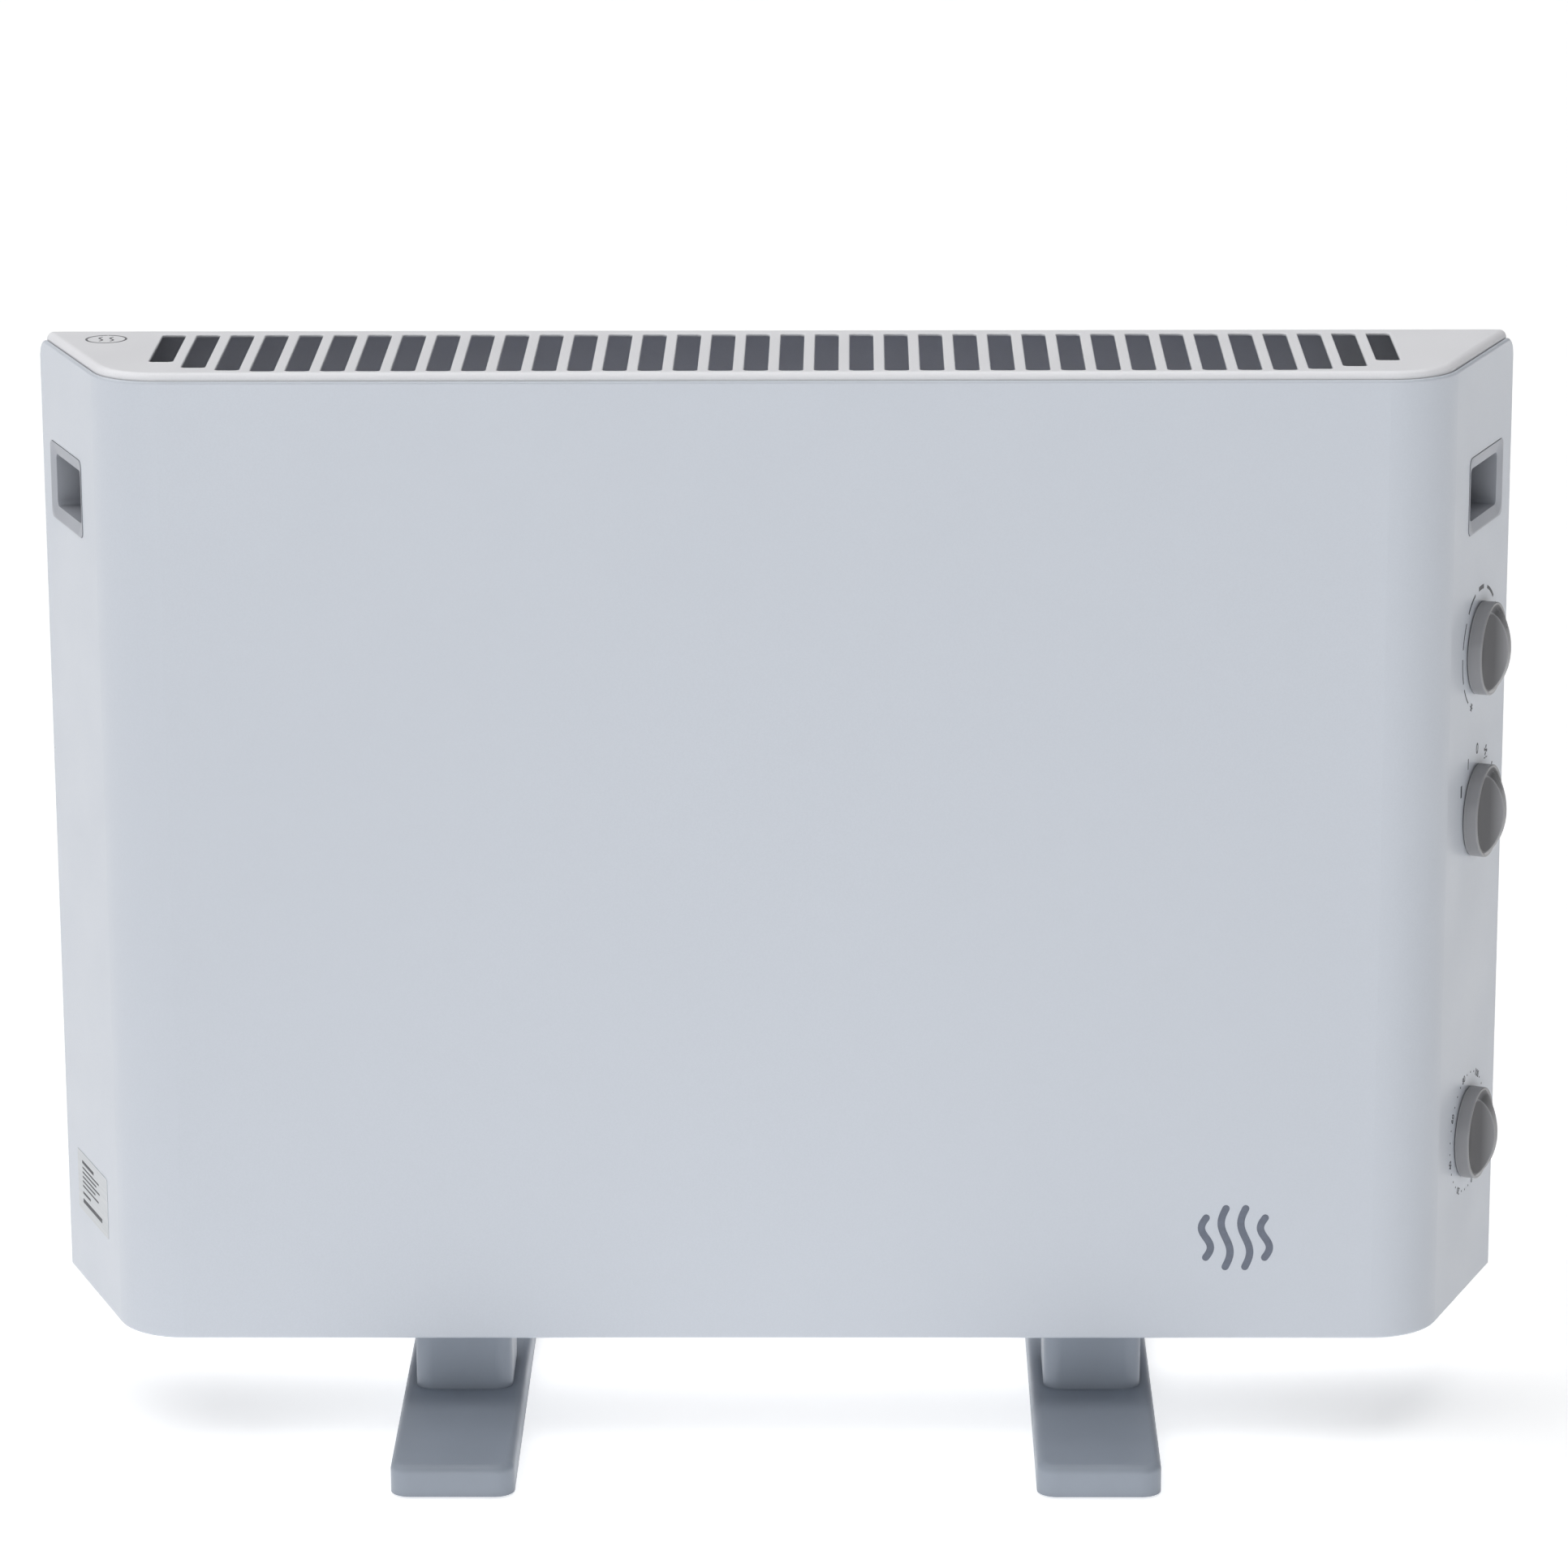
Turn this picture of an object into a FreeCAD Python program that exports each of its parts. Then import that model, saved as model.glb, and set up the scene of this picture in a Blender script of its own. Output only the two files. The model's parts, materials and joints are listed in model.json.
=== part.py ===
import FreeCAD, Part

import math
import os
from types import SimpleNamespace

import Sketcher

V = FreeCAD.Vector
Rotation = FreeCAD.Rotation
Placement = FreeCAD.Placement

# Driving dimensions, in millimetres and degrees.
DIMENSIONS = {
    # casing
    "rear_width": 600,
    "front_width": 526,
    "body_depth": 95,
    "casing_height": 398,
    "ground_gap": 45,
    "sheet": 1.2,
    "corner_radius": 30,
    "side_flange": 16,
    "base_flange": 12,
    "ear_radius": 8,
    # outlet grille
    "grille_rise": 3,
    "grille_skirt": 15,
    "grille_gap": 0.6,
    "grille_round": 3,
    "slot_count": 36,
    "slot_pitch": 13.9,
    "slot_width": 9.45,
    "slot_rear": 36,
    "slot_front": -40.5,
    "first_slot_front": -21,
    "second_slot_front": -33,
    "third_slot_front": -38.5,
    "slot_round": 2,
    "slot_soft": 0.6,
    # places on the side walls, measured from the rear edge and from the casing's lower edge
    "handle_along": 37.8,
    "handle_level": 342.5,
    "handle_wide": 48,
    "handle_tall": 32,
    "handle_bezel": 5,
    "bezel_deep": 1.2,
    "handle_deep": 24,
    "handle_floor": 2,
    "handle_round": 3,
    "handle_play": 0.15,
    "handle_proud": 0.3,
    "handle_flange": 4,
    "handle_lip": 0.6,
    "control_along": 40,
    "thermostat_level": 276.5,
    "selector_level": 208.5,
    "timer_level": 70.5,
    "label_along": 41.5,
    "label_level": 44,
    "label_wide": 47,
    "label_tall": 26,
    "label_thick": 0.2,
    # knobs and their shafts
    "knob_radius": 19,
    "knob_gap": 0.4,
    "knob_skirt": 6,
    "knob_crest": 12.6,
    "knob_lip": 1.1,
    "knob_floor": 4.2,
    "knob_cavity": 2.8,
    "knob_wall": 2.5,
    "knob_dish": 2.4,
    "knob_bite": 0.7,
    "knob_round": 0.4,
    "crest_half": 1.8,
    "pointer_wide": 1,
    "pointer_deep": 0.45,
    "pointer_start": 9,
    "pointer_end": 16.5,
    "scoop_radius": 11,
    "hub_radius": 4.6,
    "shaft_radius": 3,
    "shaft_fit": 0.04,
    "shaft_reach": 6.2,
    "shaft_inset": 18,
    "wall_hole": 5,
    # switch housings
    "thermostat_case_wide": 32,
    "thermostat_case_tall": 40,
    "thermostat_case_deep": 20,
    "selector_case_wide": 30,
    "selector_case_tall": 30,
    "selector_case_deep": 24,
    "timer_case_wide": 46,
    "timer_case_deep": 26,
    "control_flange": 1.5,
    "control_flange_wide": 22,
    "control_flange_tall": 34,
    "control_screw_reach": 12,
    "control_screw_radius": 1.7,
    "control_screw_long": 5,
    "control_head": 3,
    "control_head_tall": 1.6,
    "tab_wide": 6.3,
    "tab_thick": 0.8,
    "tab_long": 8,
    "tab_spread": 9,
    # screws
    "screw_hole": 1.75,
    "head_taper": 0.75,
    "recess_wide": 0.8,
    "recess_reach": 0.55,
    "rear_screw_x": 291,
    "rear_screw_level": 30,
    "rear_screw_step": 110,
    "rear_screw_rows": 4,
    "rear_head": 3.4,
    "rear_head_tall": 2,
    "foot_screw_reach": 12,
    "foot_screw_radius": 2,
    "foot_head": 4,
    "foot_head_tall": 3,
    "foot_counterbore": 8,
    "foot_recess": 4.6,
    # rear panel
    "inlet_slot_wide": 70,
    "inlet_slot_tall": 5,
    "inlet_pitch": 13,
    "inlet_spacing": 88,
    "inlet_columns": 5,
    "inlet_rows": 8,
    "inlet_level": 24,
    # bottom grille
    "base_slot_wide": 8,
    "base_slot_long": 56,
    "base_slot_pitch": 14,
    "base_middle_slots": 14,
    "base_side_slots": 7,
    "base_row_x": 258,
    # feet
    "foot_spread": 260,
    "foot_wide": 50,
    "foot_long": 226,
    "foot_tall": 14,
    "foot_round": 8,
    "foot_soft": 3.5,
    "pad_reach": 95,
    "foot_lift": 1,
    "block_wide": 40,
    "block_long": 45,
    "block_round": 7,
    "pad_radius": 6,
    "pad_thick": 2.4,
    # heating chamber
    "left_wall_x": -235,
    "right_wall_x": 222,
    "plate": 1,
    "small_round": 1,
    "shield_y": 40,
    "element_level": 160,
    "element_tall": 30,
    "element_half": 35,
    "wire_radius": 0.8,
    "wire_pitch": 6,
    "wire_runs": 10,
    "card_count": 8,
    "card_margin": 30,
    "wire_level": 6,
    "wire_hole": 1.1,
    "wire_margin": 12,
    "wire_exit": 9,
    "bush_radius": 3,
    "bush_half": 6,
    "shield_low": 125,
    "shield_high": 405,
    "cutout_x": 150,
    "cutout_wide": 15,
    "cutout_radius": 8,
    "cutout_tall": 9,
    # fan
    "fan_level": 109,
    "fan_mouth": 42,
    "impeller_radius": 39,
    "impeller_tall": 14,
    "fan_hub": 12,
    "fan_shaft": 2,
    "impeller_rise": 4,
    "blade_count": 7,
    "blade_root_pitch": 52,
    "blade_tip_pitch": 32,
    "blade_thick": 1.4,
    "bracket_half": 8,
    "bracket_drop": 20,
    "bracket_leg": 48,
    "bracket_foot": 14,
    "bracket_screw_x": 55,
    "bearing_radius": 6,
    "bearing_long": 5,
    "stator_tall": 18,
    "stator_half": 22,
    "rotor_radius": 10.5,
    "rotor_gap": 0.5,
    "rotor_inset": 4,
    "limb_inner": 26,
    "limb_outer": 33,
    "coil_half": 12,
    "coil_inner": 15,
    "coil_swell": 7,
    "motor_screw_x": 17,
    "motor_screw_radius": 1.5,
    # mains inlet
    "gland_x": 255,
    "gland_level": 30,
    "gland_radius": 6,
    "gland_bore": 3.6,
    "gland_flange": 9,
    "gland_flange_tall": 4,
    "gland_stem": 14,
    "gland_nut": 9.5,
    "gland_nut_tall": 5,
    "terminal_pitch": 10,
    "terminal_level": 140,
    "terminal_tall": 18,
    "terminal_deep": 14,
    "terminal_screw": 2,
    "lead_radius": 1.3,
    "lead_bend_share": 0.45,
    "lead_gap": 6,
    "lead_step": 5,
    "lead_level": 205,
    "lead_drop": 4,
    "lead_end_y": 4,
    "lead_end_level": 222,
}


class Size:
    """A length that carries both its value and the spreadsheet expression behind it."""

    def __init__(self, value, text):
        self.value = value
        self.text = text

    def __add__(self, other):
        other = as_size(other)
        return Size(self.value + other.value, f"({self.text} + {other.text})")

    def __radd__(self, other):
        return as_size(other) + self

    def __sub__(self, other):
        other = as_size(other)
        return Size(self.value - other.value, f"({self.text} - {other.text})")

    def __rsub__(self, other):
        return as_size(other) - self

    def __mul__(self, other):
        other = as_size(other)
        return Size(self.value * other.value, f"({self.text} * {other.text})")

    def __rmul__(self, other):
        return as_size(other) * self

    def __truediv__(self, other):
        other = as_size(other)
        return Size(self.value / other.value, f"({self.text} / {other.text})")

    def __neg__(self):
        return 0 - self


def as_size(number):
    return number if isinstance(number, Size) else Size(number, str(number))


def root_of(size):
    return Size(math.sqrt(size.value), f"sqrt({size.text})")


def fill_sheet(doc):
    """Write the driving dimensions to the spreadsheet and give them back as Sizes."""
    sheet = doc.addObject("Spreadsheet::Sheet", "sizes")
    for row, (alias, number) in enumerate(DIMENSIONS.items(), start=1):
        sheet.set(f"A{row}", alias)
        sheet.set(f"B{row}", str(number))
        sheet.setAlias(f"B{row}", alias)
    doc.recompute()
    sizes = {alias: Size(float(sheet.get(alias)), f"sizes.{alias}") for alias in DIMENSIONS}
    return SimpleNamespace(**sizes)


doc = FreeCAD.newDocument("fan_convector_heater")
d = fill_sheet(doc)
nodes = []

# Levels, faces and the slant of the side walls, all worked out from the driving dimensions.
REAR = d.body_depth / 2
FRONT = -REAR
BASE = d.ground_gap
TOP = BASE + d.casing_height
SIDE_RUN = (d.rear_width - d.front_width) / 2
WALL_LONG = root_of(SIDE_RUN * SIDE_RUN + d.body_depth * d.body_depth)
LEFT = -1
RIGHT = 1

# Two places nearer than this are one place, and a cut that takes less than this volume took nothing.
CLOSE = 1e-4
LEAST_CUT = 0.01

# The three controls, from the top down, and the columns of push-on terminals behind each.
CONTROLS = {"thermostat": (-1, 1), "selector": (-1, 0, 1), "timer": (0,)}
ROUND_CASE = "timer"

# Where each knob's engraved pointer looks as it stands: up or down.
UP = 1
DOWN = -1
POINTERS = {"thermostat": UP, "selector": UP, "timer": DOWN}


# ---------------------------------------------------------------- helpers


def bind(obj, path, size):
    obj.setExpression(path, as_size(size).text)


def keep(obj, label):
    """Name an object as one of the heater's sub-parts."""
    obj.Label = label
    nodes.append(obj)
    return obj


def new_body(label):
    return keep(doc.addObject("PartDesign::Body", label), label)


def origin_plane(body, role):
    return next(item for item in body.Origin.OriginFeatures if item.Role == role)


def sketch_on(body, name, level=0, role="XY_Plane"):
    """A sketch on one of the body's origin planes, lifted by level along the plane's normal."""
    sketch = body.newObject("Sketcher::SketchObject", name)
    sketch.AttachmentSupport = [(origin_plane(body, role), "")]
    sketch.MapMode = "FlatFace"
    bind(sketch, "AttachmentOffset.Base.z", level)
    return sketch


def locate(sketch, geometry, point, across, up):
    """Hold one point of a sketch at its two distances from the sketch's origin."""
    for kind, size in (("DistanceX", across), ("DistanceY", up)):
        size = as_size(size)
        index = sketch.addConstraint(Sketcher.Constraint(kind, -1, 1, geometry, point, size.value))
        bind(sketch, f"Constraints[{index}]", size)


def corner_arc(before, corner, after, radius):
    """The arc that rounds one corner of a counter-clockwise outline, and its two tangent points."""
    back = (before - corner).normalize()
    ahead = (after - corner).normalize()
    half_angle = back.getAngle(ahead) / 2
    reach = radius / math.tan(half_angle)
    start = corner + back * reach
    end = corner + ahead * reach
    centre = corner + (back + ahead).normalize() * (radius / math.sin(half_angle))
    angles = [math.atan2(point.y - centre.y, point.x - centre.x) for point in (start, end)]
    return Part.ArcOfCircle(Part.Circle(centre, V(0, 0, 1), radius), *angles), start, end


def polygon(sketch, corners, rounding=None):
    """Draw a counter-clockwise outline through corners; a corner given a radius is rounded."""
    count = len(corners)
    rounding = rounding or [None] * count
    points = [V(as_size(x).value, as_size(y).value, 0) for x, y in corners]
    starts, ends, arcs = list(points), list(points), [None] * count
    for index, radius in enumerate(rounding):
        if radius is not None:
            before, after = points[index - 1], points[(index + 1) % count]
            arcs[index], ends[index], starts[index] = corner_arc(
                before, points[index], after, as_size(radius).value
            )
    first = sketch.GeometryCount
    for index in range(count):
        sketch.addGeometry(Part.LineSegment(starts[index], ends[(index + 1) % count]), False)
    for index, (x, y) in enumerate(corners):
        arriving = first + (index - 1) % count
        leaving = first + index
        if arcs[index] is None:
            sketch.addConstraint(Sketcher.Constraint("Coincident", arriving, 2, leaving, 1))
            locate(sketch, leaving, 1, x, y)
            continue
        arc = sketch.addGeometry(arcs[index], False)
        meeting = sketch.addGeometry(Part.Point(points[index]), True)
        locate(sketch, meeting, 1, x, y)
        sketch.addConstraint(Sketcher.Constraint("PointOnObject", meeting, 1, arriving))
        sketch.addConstraint(Sketcher.Constraint("PointOnObject", meeting, 1, leaving))
        sketch.addConstraint(Sketcher.Constraint("Tangent", arriving, 2, arc, 1))
        sketch.addConstraint(Sketcher.Constraint("Tangent", arc, 2, leaving, 1))
        held = sketch.addConstraint(Sketcher.Constraint("Radius", arc, as_size(rounding[index]).value))
        bind(sketch, f"Constraints[{held}]", rounding[index])


def rectangle(sketch, left, bottom, right, top, radius=None):
    polygon(sketch, [(left, bottom), (right, bottom), (right, top), (left, top)], [radius] * 4)


def circle(sketch, x, y, radius):
    centre = V(as_size(x).value, as_size(y).value, 0)
    value = as_size(radius).value
    index = sketch.addGeometry(Part.Circle(centre, V(0, 0, 1), value), False)
    held = sketch.addConstraint(Sketcher.Constraint("Radius", index, value))
    bind(sketch, f"Constraints[{held}]", radius)
    locate(sketch, index, 3, x, y)


def extrude(body, kind, name, sketch, length, along_normal):
    feature = body.newObject(kind, name)
    feature.Profile = sketch
    bind(feature, "Length", length)
    feature.Reversed = along_normal if kind == "PartDesign::Pocket" else not along_normal
    sketch.Visibility = False
    doc.recompute()
    return feature


def pad(body, name, sketch, length, along_normal=True):
    return extrude(body, "PartDesign::Pad", name, sketch, length, along_normal)


def pocket(body, name, sketch, length, along_normal=False):
    return extrude(body, "PartDesign::Pocket", name, sketch, length, along_normal)


def edges_where(shape, test):
    return [f"Edge{index}" for index, edge in enumerate(shape.Edges, start=1) if test(edge)]


def upright_edges(shape, y):
    """Edges parallel to Z that stand at one depth."""

    def test(edge):
        if len(edge.Vertexes) != 2:
            return False
        low, high = edge.Vertexes[0].Point, edge.Vertexes[1].Point
        return abs(low.x - high.x) < CLOSE and abs(low.y - y) < CLOSE and abs(high.y - y) < CLOSE

    return edges_where(shape, test)


def lies_at(edge, level):
    """Whether an edge lies wholly at one height."""
    ends_level = all(abs(vertex.Z - level) < CLOSE for vertex in edge.Vertexes)
    return ends_level and edge.BoundBox.ZLength < CLOSE * 10


def level_edges(shape, level):
    return edges_where(shape, lambda edge: lies_at(edge, level))


def fillet(body, name, base, edges, radius):
    feature = body.newObject("PartDesign::Fillet", name)
    feature.Base = (base, edges)
    bind(feature, "Radius", radius)
    doc.recompute()
    return feature


def repeat(body, name, feature, **rows):
    """Repeat a feature along the body's origin axes: each row is an axis with its step and count."""
    pattern = body.newObject("PartDesign::LinearPattern", name)
    pattern.Originals = [feature]
    for suffix, (axis, (step, count)) in zip(("", "2"), rows.items()):
        setattr(pattern, f"Direction{suffix}", (origin_plane(body, axis), [""]))
        bind(pattern, f"Length{suffix}", step * (count - 1))
        bind(pattern, f"Occurrences{suffix}", count)
    body.Tip = pattern
    doc.recompute()
    return pattern


def on_rear(shape, edge):
    return all(abs(vertex.Y - REAR.value) < CLOSE for vertex in shape.getElement(edge).Vertexes)


def lowest_face(shape):
    names = [f"Face{index}" for index in range(1, len(shape.Faces) + 1)]
    return min(names, key=lambda name: shape.getElement(name).CenterOfMass.z)


def circles_at(shape, radius, level):
    """Whole circles of one radius that lie at one height."""

    def test(edge):
        curve = edge.Curve
        if not isinstance(curve, Part.Circle):
            return False
        return abs(curve.Radius - radius) < CLOSE and abs(curve.Center.z - level) < CLOSE

    return edges_where(shape, test)


def inner_mouth_edges(shape, level, half_wide):
    """Edges of an opening at one height: those no further out than half_wide."""

    def test(edge):
        reach = max(abs(edge.BoundBox.XMin), abs(edge.BoundBox.XMax))
        return lies_at(edge, level) and reach < half_wide + CLOSE * 10

    return edges_where(shape, test)


def slot_edges(shape, level, front, rear):
    """Edges of the slots at one height: those that lie between the slots' front and rear ends."""

    def test(edge):
        reach = edge.BoundBox
        return lies_at(edge, level) and reach.YMin > front - CLOSE and reach.YMax < rear + CLOSE

    return edges_where(shape, test)


def box(name, corner, sides):
    """A block whose lowest corner and three sides are bound sizes."""
    block = doc.addObject("Part::Box", name)
    for path, size in zip(("Length", "Width", "Height"), sides):
        bind(block, path, size)
    place_at(block, corner)
    return block


def cylinder(name, centre, radius, height, direction=V(0, 0, 1)):
    """A round bar that starts at centre and runs along direction."""
    bar = doc.addObject("Part::Cylinder", name)
    bind(bar, "Radius", radius)
    bind(bar, "Height", height)
    bar.Placement = Placement(V(), Rotation(V(0, 0, 1), direction))
    place_at(bar, centre)
    return bar


def place_at(obj, corner):
    for path, size in zip("xyz", corner):
        bind(obj, f"Placement.Base.{path}", size)


def fused(name, shapes):
    union = doc.addObject("Part::MultiFuse", name)
    union.Shapes = shapes
    return union


def cut(name, base, tool):
    difference = doc.addObject("Part::Cut", name)
    difference.Base = base
    difference.Tool = tool
    return difference


def group(label, members):
    """Several separate solids that share one sub-part."""
    compound = doc.addObject("Part::Compound", label)
    compound.Links = members
    return keep(compound, label)


def wall_turn(side):
    """Local X along the side wall, local Y up, local Z out of the wall."""
    cos = d.body_depth.value / WALL_LONG.value
    sin = SIDE_RUN.value / WALL_LONG.value
    outward = V(side * cos, -sin, 0)
    up = V(0, 0, 1)
    return Rotation(up.cross(outward), up, outward)


def wall_point(side, along, level, out=0):
    """A point on a side wall: distance from the rear edge, height over the base, distance out."""
    x = d.rear_width / 2 - along * SIDE_RUN / WALL_LONG + out * d.body_depth / WALL_LONG
    y = REAR - along * d.body_depth / WALL_LONG - out * SIDE_RUN / WALL_LONG
    return side * x, y, BASE + level


def put_on_wall(obj, side, along, level):
    obj.Placement = Placement(V(), wall_turn(side))
    place_at(obj, wall_point(side, along, level))


def outline(side_inset, rear_inset, front_inset):
    """The casing's plan outline, drawn in by separate insets from its sides, rear and front."""
    slant = SIDE_RUN / d.body_depth
    draw_in = side_inset * WALL_LONG / d.body_depth
    rear_x = d.rear_width / 2 - rear_inset * slant - draw_in
    front_x = d.front_width / 2 + front_inset * slant - draw_in
    rear_y = REAR - rear_inset
    front_y = FRONT + front_inset
    return [(-rear_x, rear_y), (-front_x, front_y), (front_x, front_y), (rear_x, rear_y)]


# ---------------------------------------------------------------- casing


def wall_sketch(body, name, side, out):
    """A sketch laid on a side wall, with its origin on the wall's rear lower corner."""
    sketch = sketch_on(body, name)
    sketch.AttachmentOffset = Placement(V(), wall_turn(side))
    for path, size in zip("xyz", wall_point(side, as_size(0), as_size(0), out)):
        bind(sketch, f"AttachmentOffset.Base.{path}", size)
    return sketch


def from_rear(side, along):
    """Distance along a wall sketch's X axis: it runs rearward on the right wall, forward on the left."""
    return -side * along


def plan_rounding(inset):
    """Corner radii of a plan outline: only its two front corners are rounded."""
    return [None, d.corner_radius - inset, d.corner_radius - inset, None]


def rear_screw_holes(sketch):
    """A column of holes down each side of the back, through the casing's flange and the rear panel."""
    for side in (LEFT, RIGHT):
        for row in range(DIMENSIONS["rear_screw_rows"]):
            level = BASE + d.rear_screw_level + row * d.rear_screw_step
            circle(sketch, side * d.rear_screw_x, level, d.screw_hole)


def level_of(control):
    """How far a control's shaft stands over the casing's lower edge."""
    return getattr(d, f"{control}_level")


def wall_openings(sketch, side):
    """The handle's window and, on the right, the holes for each control's shaft and two screws."""
    along = from_rear(side, d.handle_along)
    half_wide, half_tall = d.handle_wide / 2, d.handle_tall / 2
    rectangle(
        sketch,
        along - half_wide,
        d.handle_level - half_tall,
        along + half_wide,
        d.handle_level + half_tall,
        d.handle_round,
    )
    if side == LEFT:
        return
    along = from_rear(side, d.control_along)
    for level in map(level_of, CONTROLS):
        circle(sketch, along, level, d.wall_hole)
        circle(sketch, along, level - d.control_screw_reach, d.screw_hole)
        circle(sketch, along, level + d.control_screw_reach, d.screw_hole)


def casing_shell():
    """One folded steel sheet: front, two slanted side walls, and flanges at the rear and the base."""
    body = new_body("casing_shell")
    plan = sketch_on(body, "casing_plan", BASE)
    polygon(plan, outline(0, 0, 0), plan_rounding(0))
    block = pad(body, "casing_block", plan, d.casing_height)
    rear_top = [edge for edge in level_edges(block.Shape, TOP.value) if on_rear(block.Shape, edge)]
    eared = fillet(body, "casing_ears", block, rear_top, d.ear_radius)
    folded = fillet(body, "casing_rear_folds", eared, upright_edges(eared.Shape, REAR.value), d.sheet)
    fillet(body, "casing_base_fold", folded, level_edges(folded.Shape, BASE.value), d.sheet)
    inner = sketch_on(body, "casing_inner_plan", TOP)
    polygon(inner, outline(d.sheet, d.sheet, d.sheet), plan_rounding(d.sheet))
    pocket(body, "casing_hollow", inner, d.casing_height - d.sheet)
    mouth = sketch_on(body, "casing_base_plan", BASE)
    polygon(mouth, outline(d.base_flange, d.base_flange, d.base_flange), plan_rounding(d.base_flange))
    pocket(body, "casing_base_mouth", mouth, d.sheet, along_normal=True)
    back = sketch_on(body, "casing_back_plan", -REAR, "XZ_Plane")
    half = d.rear_width / 2 - d.side_flange
    rectangle(back, -half, BASE + d.base_flange, half, TOP + d.sheet)
    pocket(body, "casing_back_mouth", back, d.sheet, along_normal=True)
    screws = sketch_on(body, "casing_screw_plan", -REAR, "XZ_Plane")
    rear_screw_holes(screws)
    pocket(body, "casing_screw_holes", screws, d.sheet, along_normal=True)
    for side, name in ((LEFT, "left"), (RIGHT, "right")):
        openings = wall_sketch(body, f"{name}_wall_plan", side, d.sheet)
        wall_openings(openings, side)
        pocket(body, f"{name}_wall_openings", openings, d.sheet * 3)


def top_grille():
    """Inset outlet cover: a pan turned down at its edges, with slots that shorten at the rounded ends."""
    body = new_body("top_grille")
    inset = d.sheet + d.grille_gap
    plan = sketch_on(body, "grille_plan", TOP - d.grille_skirt)
    round_rear = d.grille_round
    rounding = [round_rear, d.corner_radius - inset, d.corner_radius - inset, round_rear]
    polygon(plan, outline(inset, inset, inset), rounding)
    block = pad(body, "grille_block", plan, d.grille_skirt + d.grille_rise)
    top = TOP + d.grille_rise
    softened = fillet(body, "grille_edge", block, level_edges(block.Shape, top.value), d.grille_round)
    shell = body.newObject("PartDesign::Thickness", "grille_shell")
    shell.Base = (softened, [lowest_face(softened.Shape)])
    shell.Reversed = True
    bind(shell, "Value", d.plate)
    doc.recompute()
    half = d.slot_width / 2
    outer_x = (d.slot_count - 1) * d.slot_pitch / 2
    end_fronts = (d.first_slot_front, d.second_slot_front, d.third_slot_front)
    ends = sketch_on(body, "end_slot_plan", top)
    for index, front in enumerate(end_fronts):
        for side in (LEFT, RIGHT):
            centre = side * (outer_x - index * d.slot_pitch)
            rectangle(ends, centre - half, front, centre + half, d.slot_rear, d.slot_round)
    pocket(body, "end_slots", ends, d.grille_rise)
    slot = sketch_on(body, "slot_plan", top)
    left_x = len(end_fronts) * d.slot_pitch - outer_x
    rectangle(slot, left_x - half, d.slot_front, left_x + half, d.slot_rear, d.slot_round)
    first = pocket(body, "full_slot", slot, d.grille_rise)
    slots = repeat(body, "full_slots", first, X_Axis=(d.slot_pitch, d.slot_count - 2 * len(end_fronts)))
    rims = slot_edges(slots.Shape, top.value, d.slot_front.value, d.slot_rear.value)
    fillet(body, "slot_rims", slots, rims, d.slot_soft)


def rear_panel():
    """Flat sheet behind the casing's rear opening, with air inlets and the hole for the mains gland."""
    body = new_body("rear_panel")
    face = REAR - d.sheet
    half = d.rear_width / 2 - d.sheet * 4
    plan = sketch_on(body, "panel_plan", -face, "XZ_Plane")
    low = BASE + d.sheet * 3
    rectangle(plan, -half, low, half, TOP - d.grille_skirt - d.plate, d.slot_round)
    pad(body, "panel_sheet", plan, d.sheet)
    holes = sketch_on(body, "panel_hole_plan", -face, "XZ_Plane")
    rear_screw_holes(holes)
    circle(holes, d.gland_x, BASE + d.gland_level, d.gland_radius)
    pocket(body, "panel_holes", holes, d.sheet, along_normal=True)
    inlet = sketch_on(body, "panel_inlet_plan", -face, "XZ_Plane")
    left = -(d.inlet_columns - 1) * d.inlet_spacing / 2 - d.inlet_slot_wide / 2
    level = BASE + d.inlet_level
    rectangle(inlet, left, level, left + d.inlet_slot_wide, level + d.inlet_slot_tall, d.slot_round)
    first = pocket(body, "panel_inlet", inlet, d.sheet, along_normal=True)
    columns = (d.inlet_spacing, d.inlet_columns)
    rows = (d.inlet_pitch, d.inlet_rows)
    repeat(body, "panel_inlets", first, X_Axis=columns, Z_Axis=rows)


def bottom_grille():
    """Base plate lying on the casing's base flange: air inlet, and what the feet are screwed to."""
    body = new_body("bottom_grille")
    level = BASE + d.sheet
    inset = d.sheet + d.grille_gap
    plan = sketch_on(body, "base_plate_plan", level)
    polygon(plan, outline(inset, d.sheet * 2 + d.grille_gap, inset), plan_rounding(inset))
    pad(body, "base_plate", plan, d.sheet)
    holes = sketch_on(body, "base_screw_plan", level)
    for side in (LEFT, RIGHT):
        for end in (-1, 1):
            circle(holes, side * d.foot_spread / 2, end * d.foot_screw_reach, d.foot_screw_radius)
    pocket(body, "base_screw_holes", holes, d.sheet, along_normal=True)
    half = d.base_slot_long / 2
    for name, left, count in (
        ("left", -d.base_row_x, d.base_side_slots),
        ("middle", -(d.base_middle_slots - 1) * d.base_slot_pitch / 2, d.base_middle_slots),
        ("right", d.base_row_x - (d.base_side_slots - 1) * d.base_slot_pitch, d.base_side_slots),
    ):
        slot = sketch_on(body, f"{name}_base_slot_plan", level)
        wide = d.base_slot_wide / 2
        rectangle(slot, left - wide, -half, left + wide, half, d.slot_round)
        first = pocket(body, f"{name}_base_slot", slot, d.sheet, along_normal=True)
        repeat(body, f"{name}_base_slots", first, X_Axis=(d.base_slot_pitch, count))


# ---------------------------------------------------------------- pieces on the side walls


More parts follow.
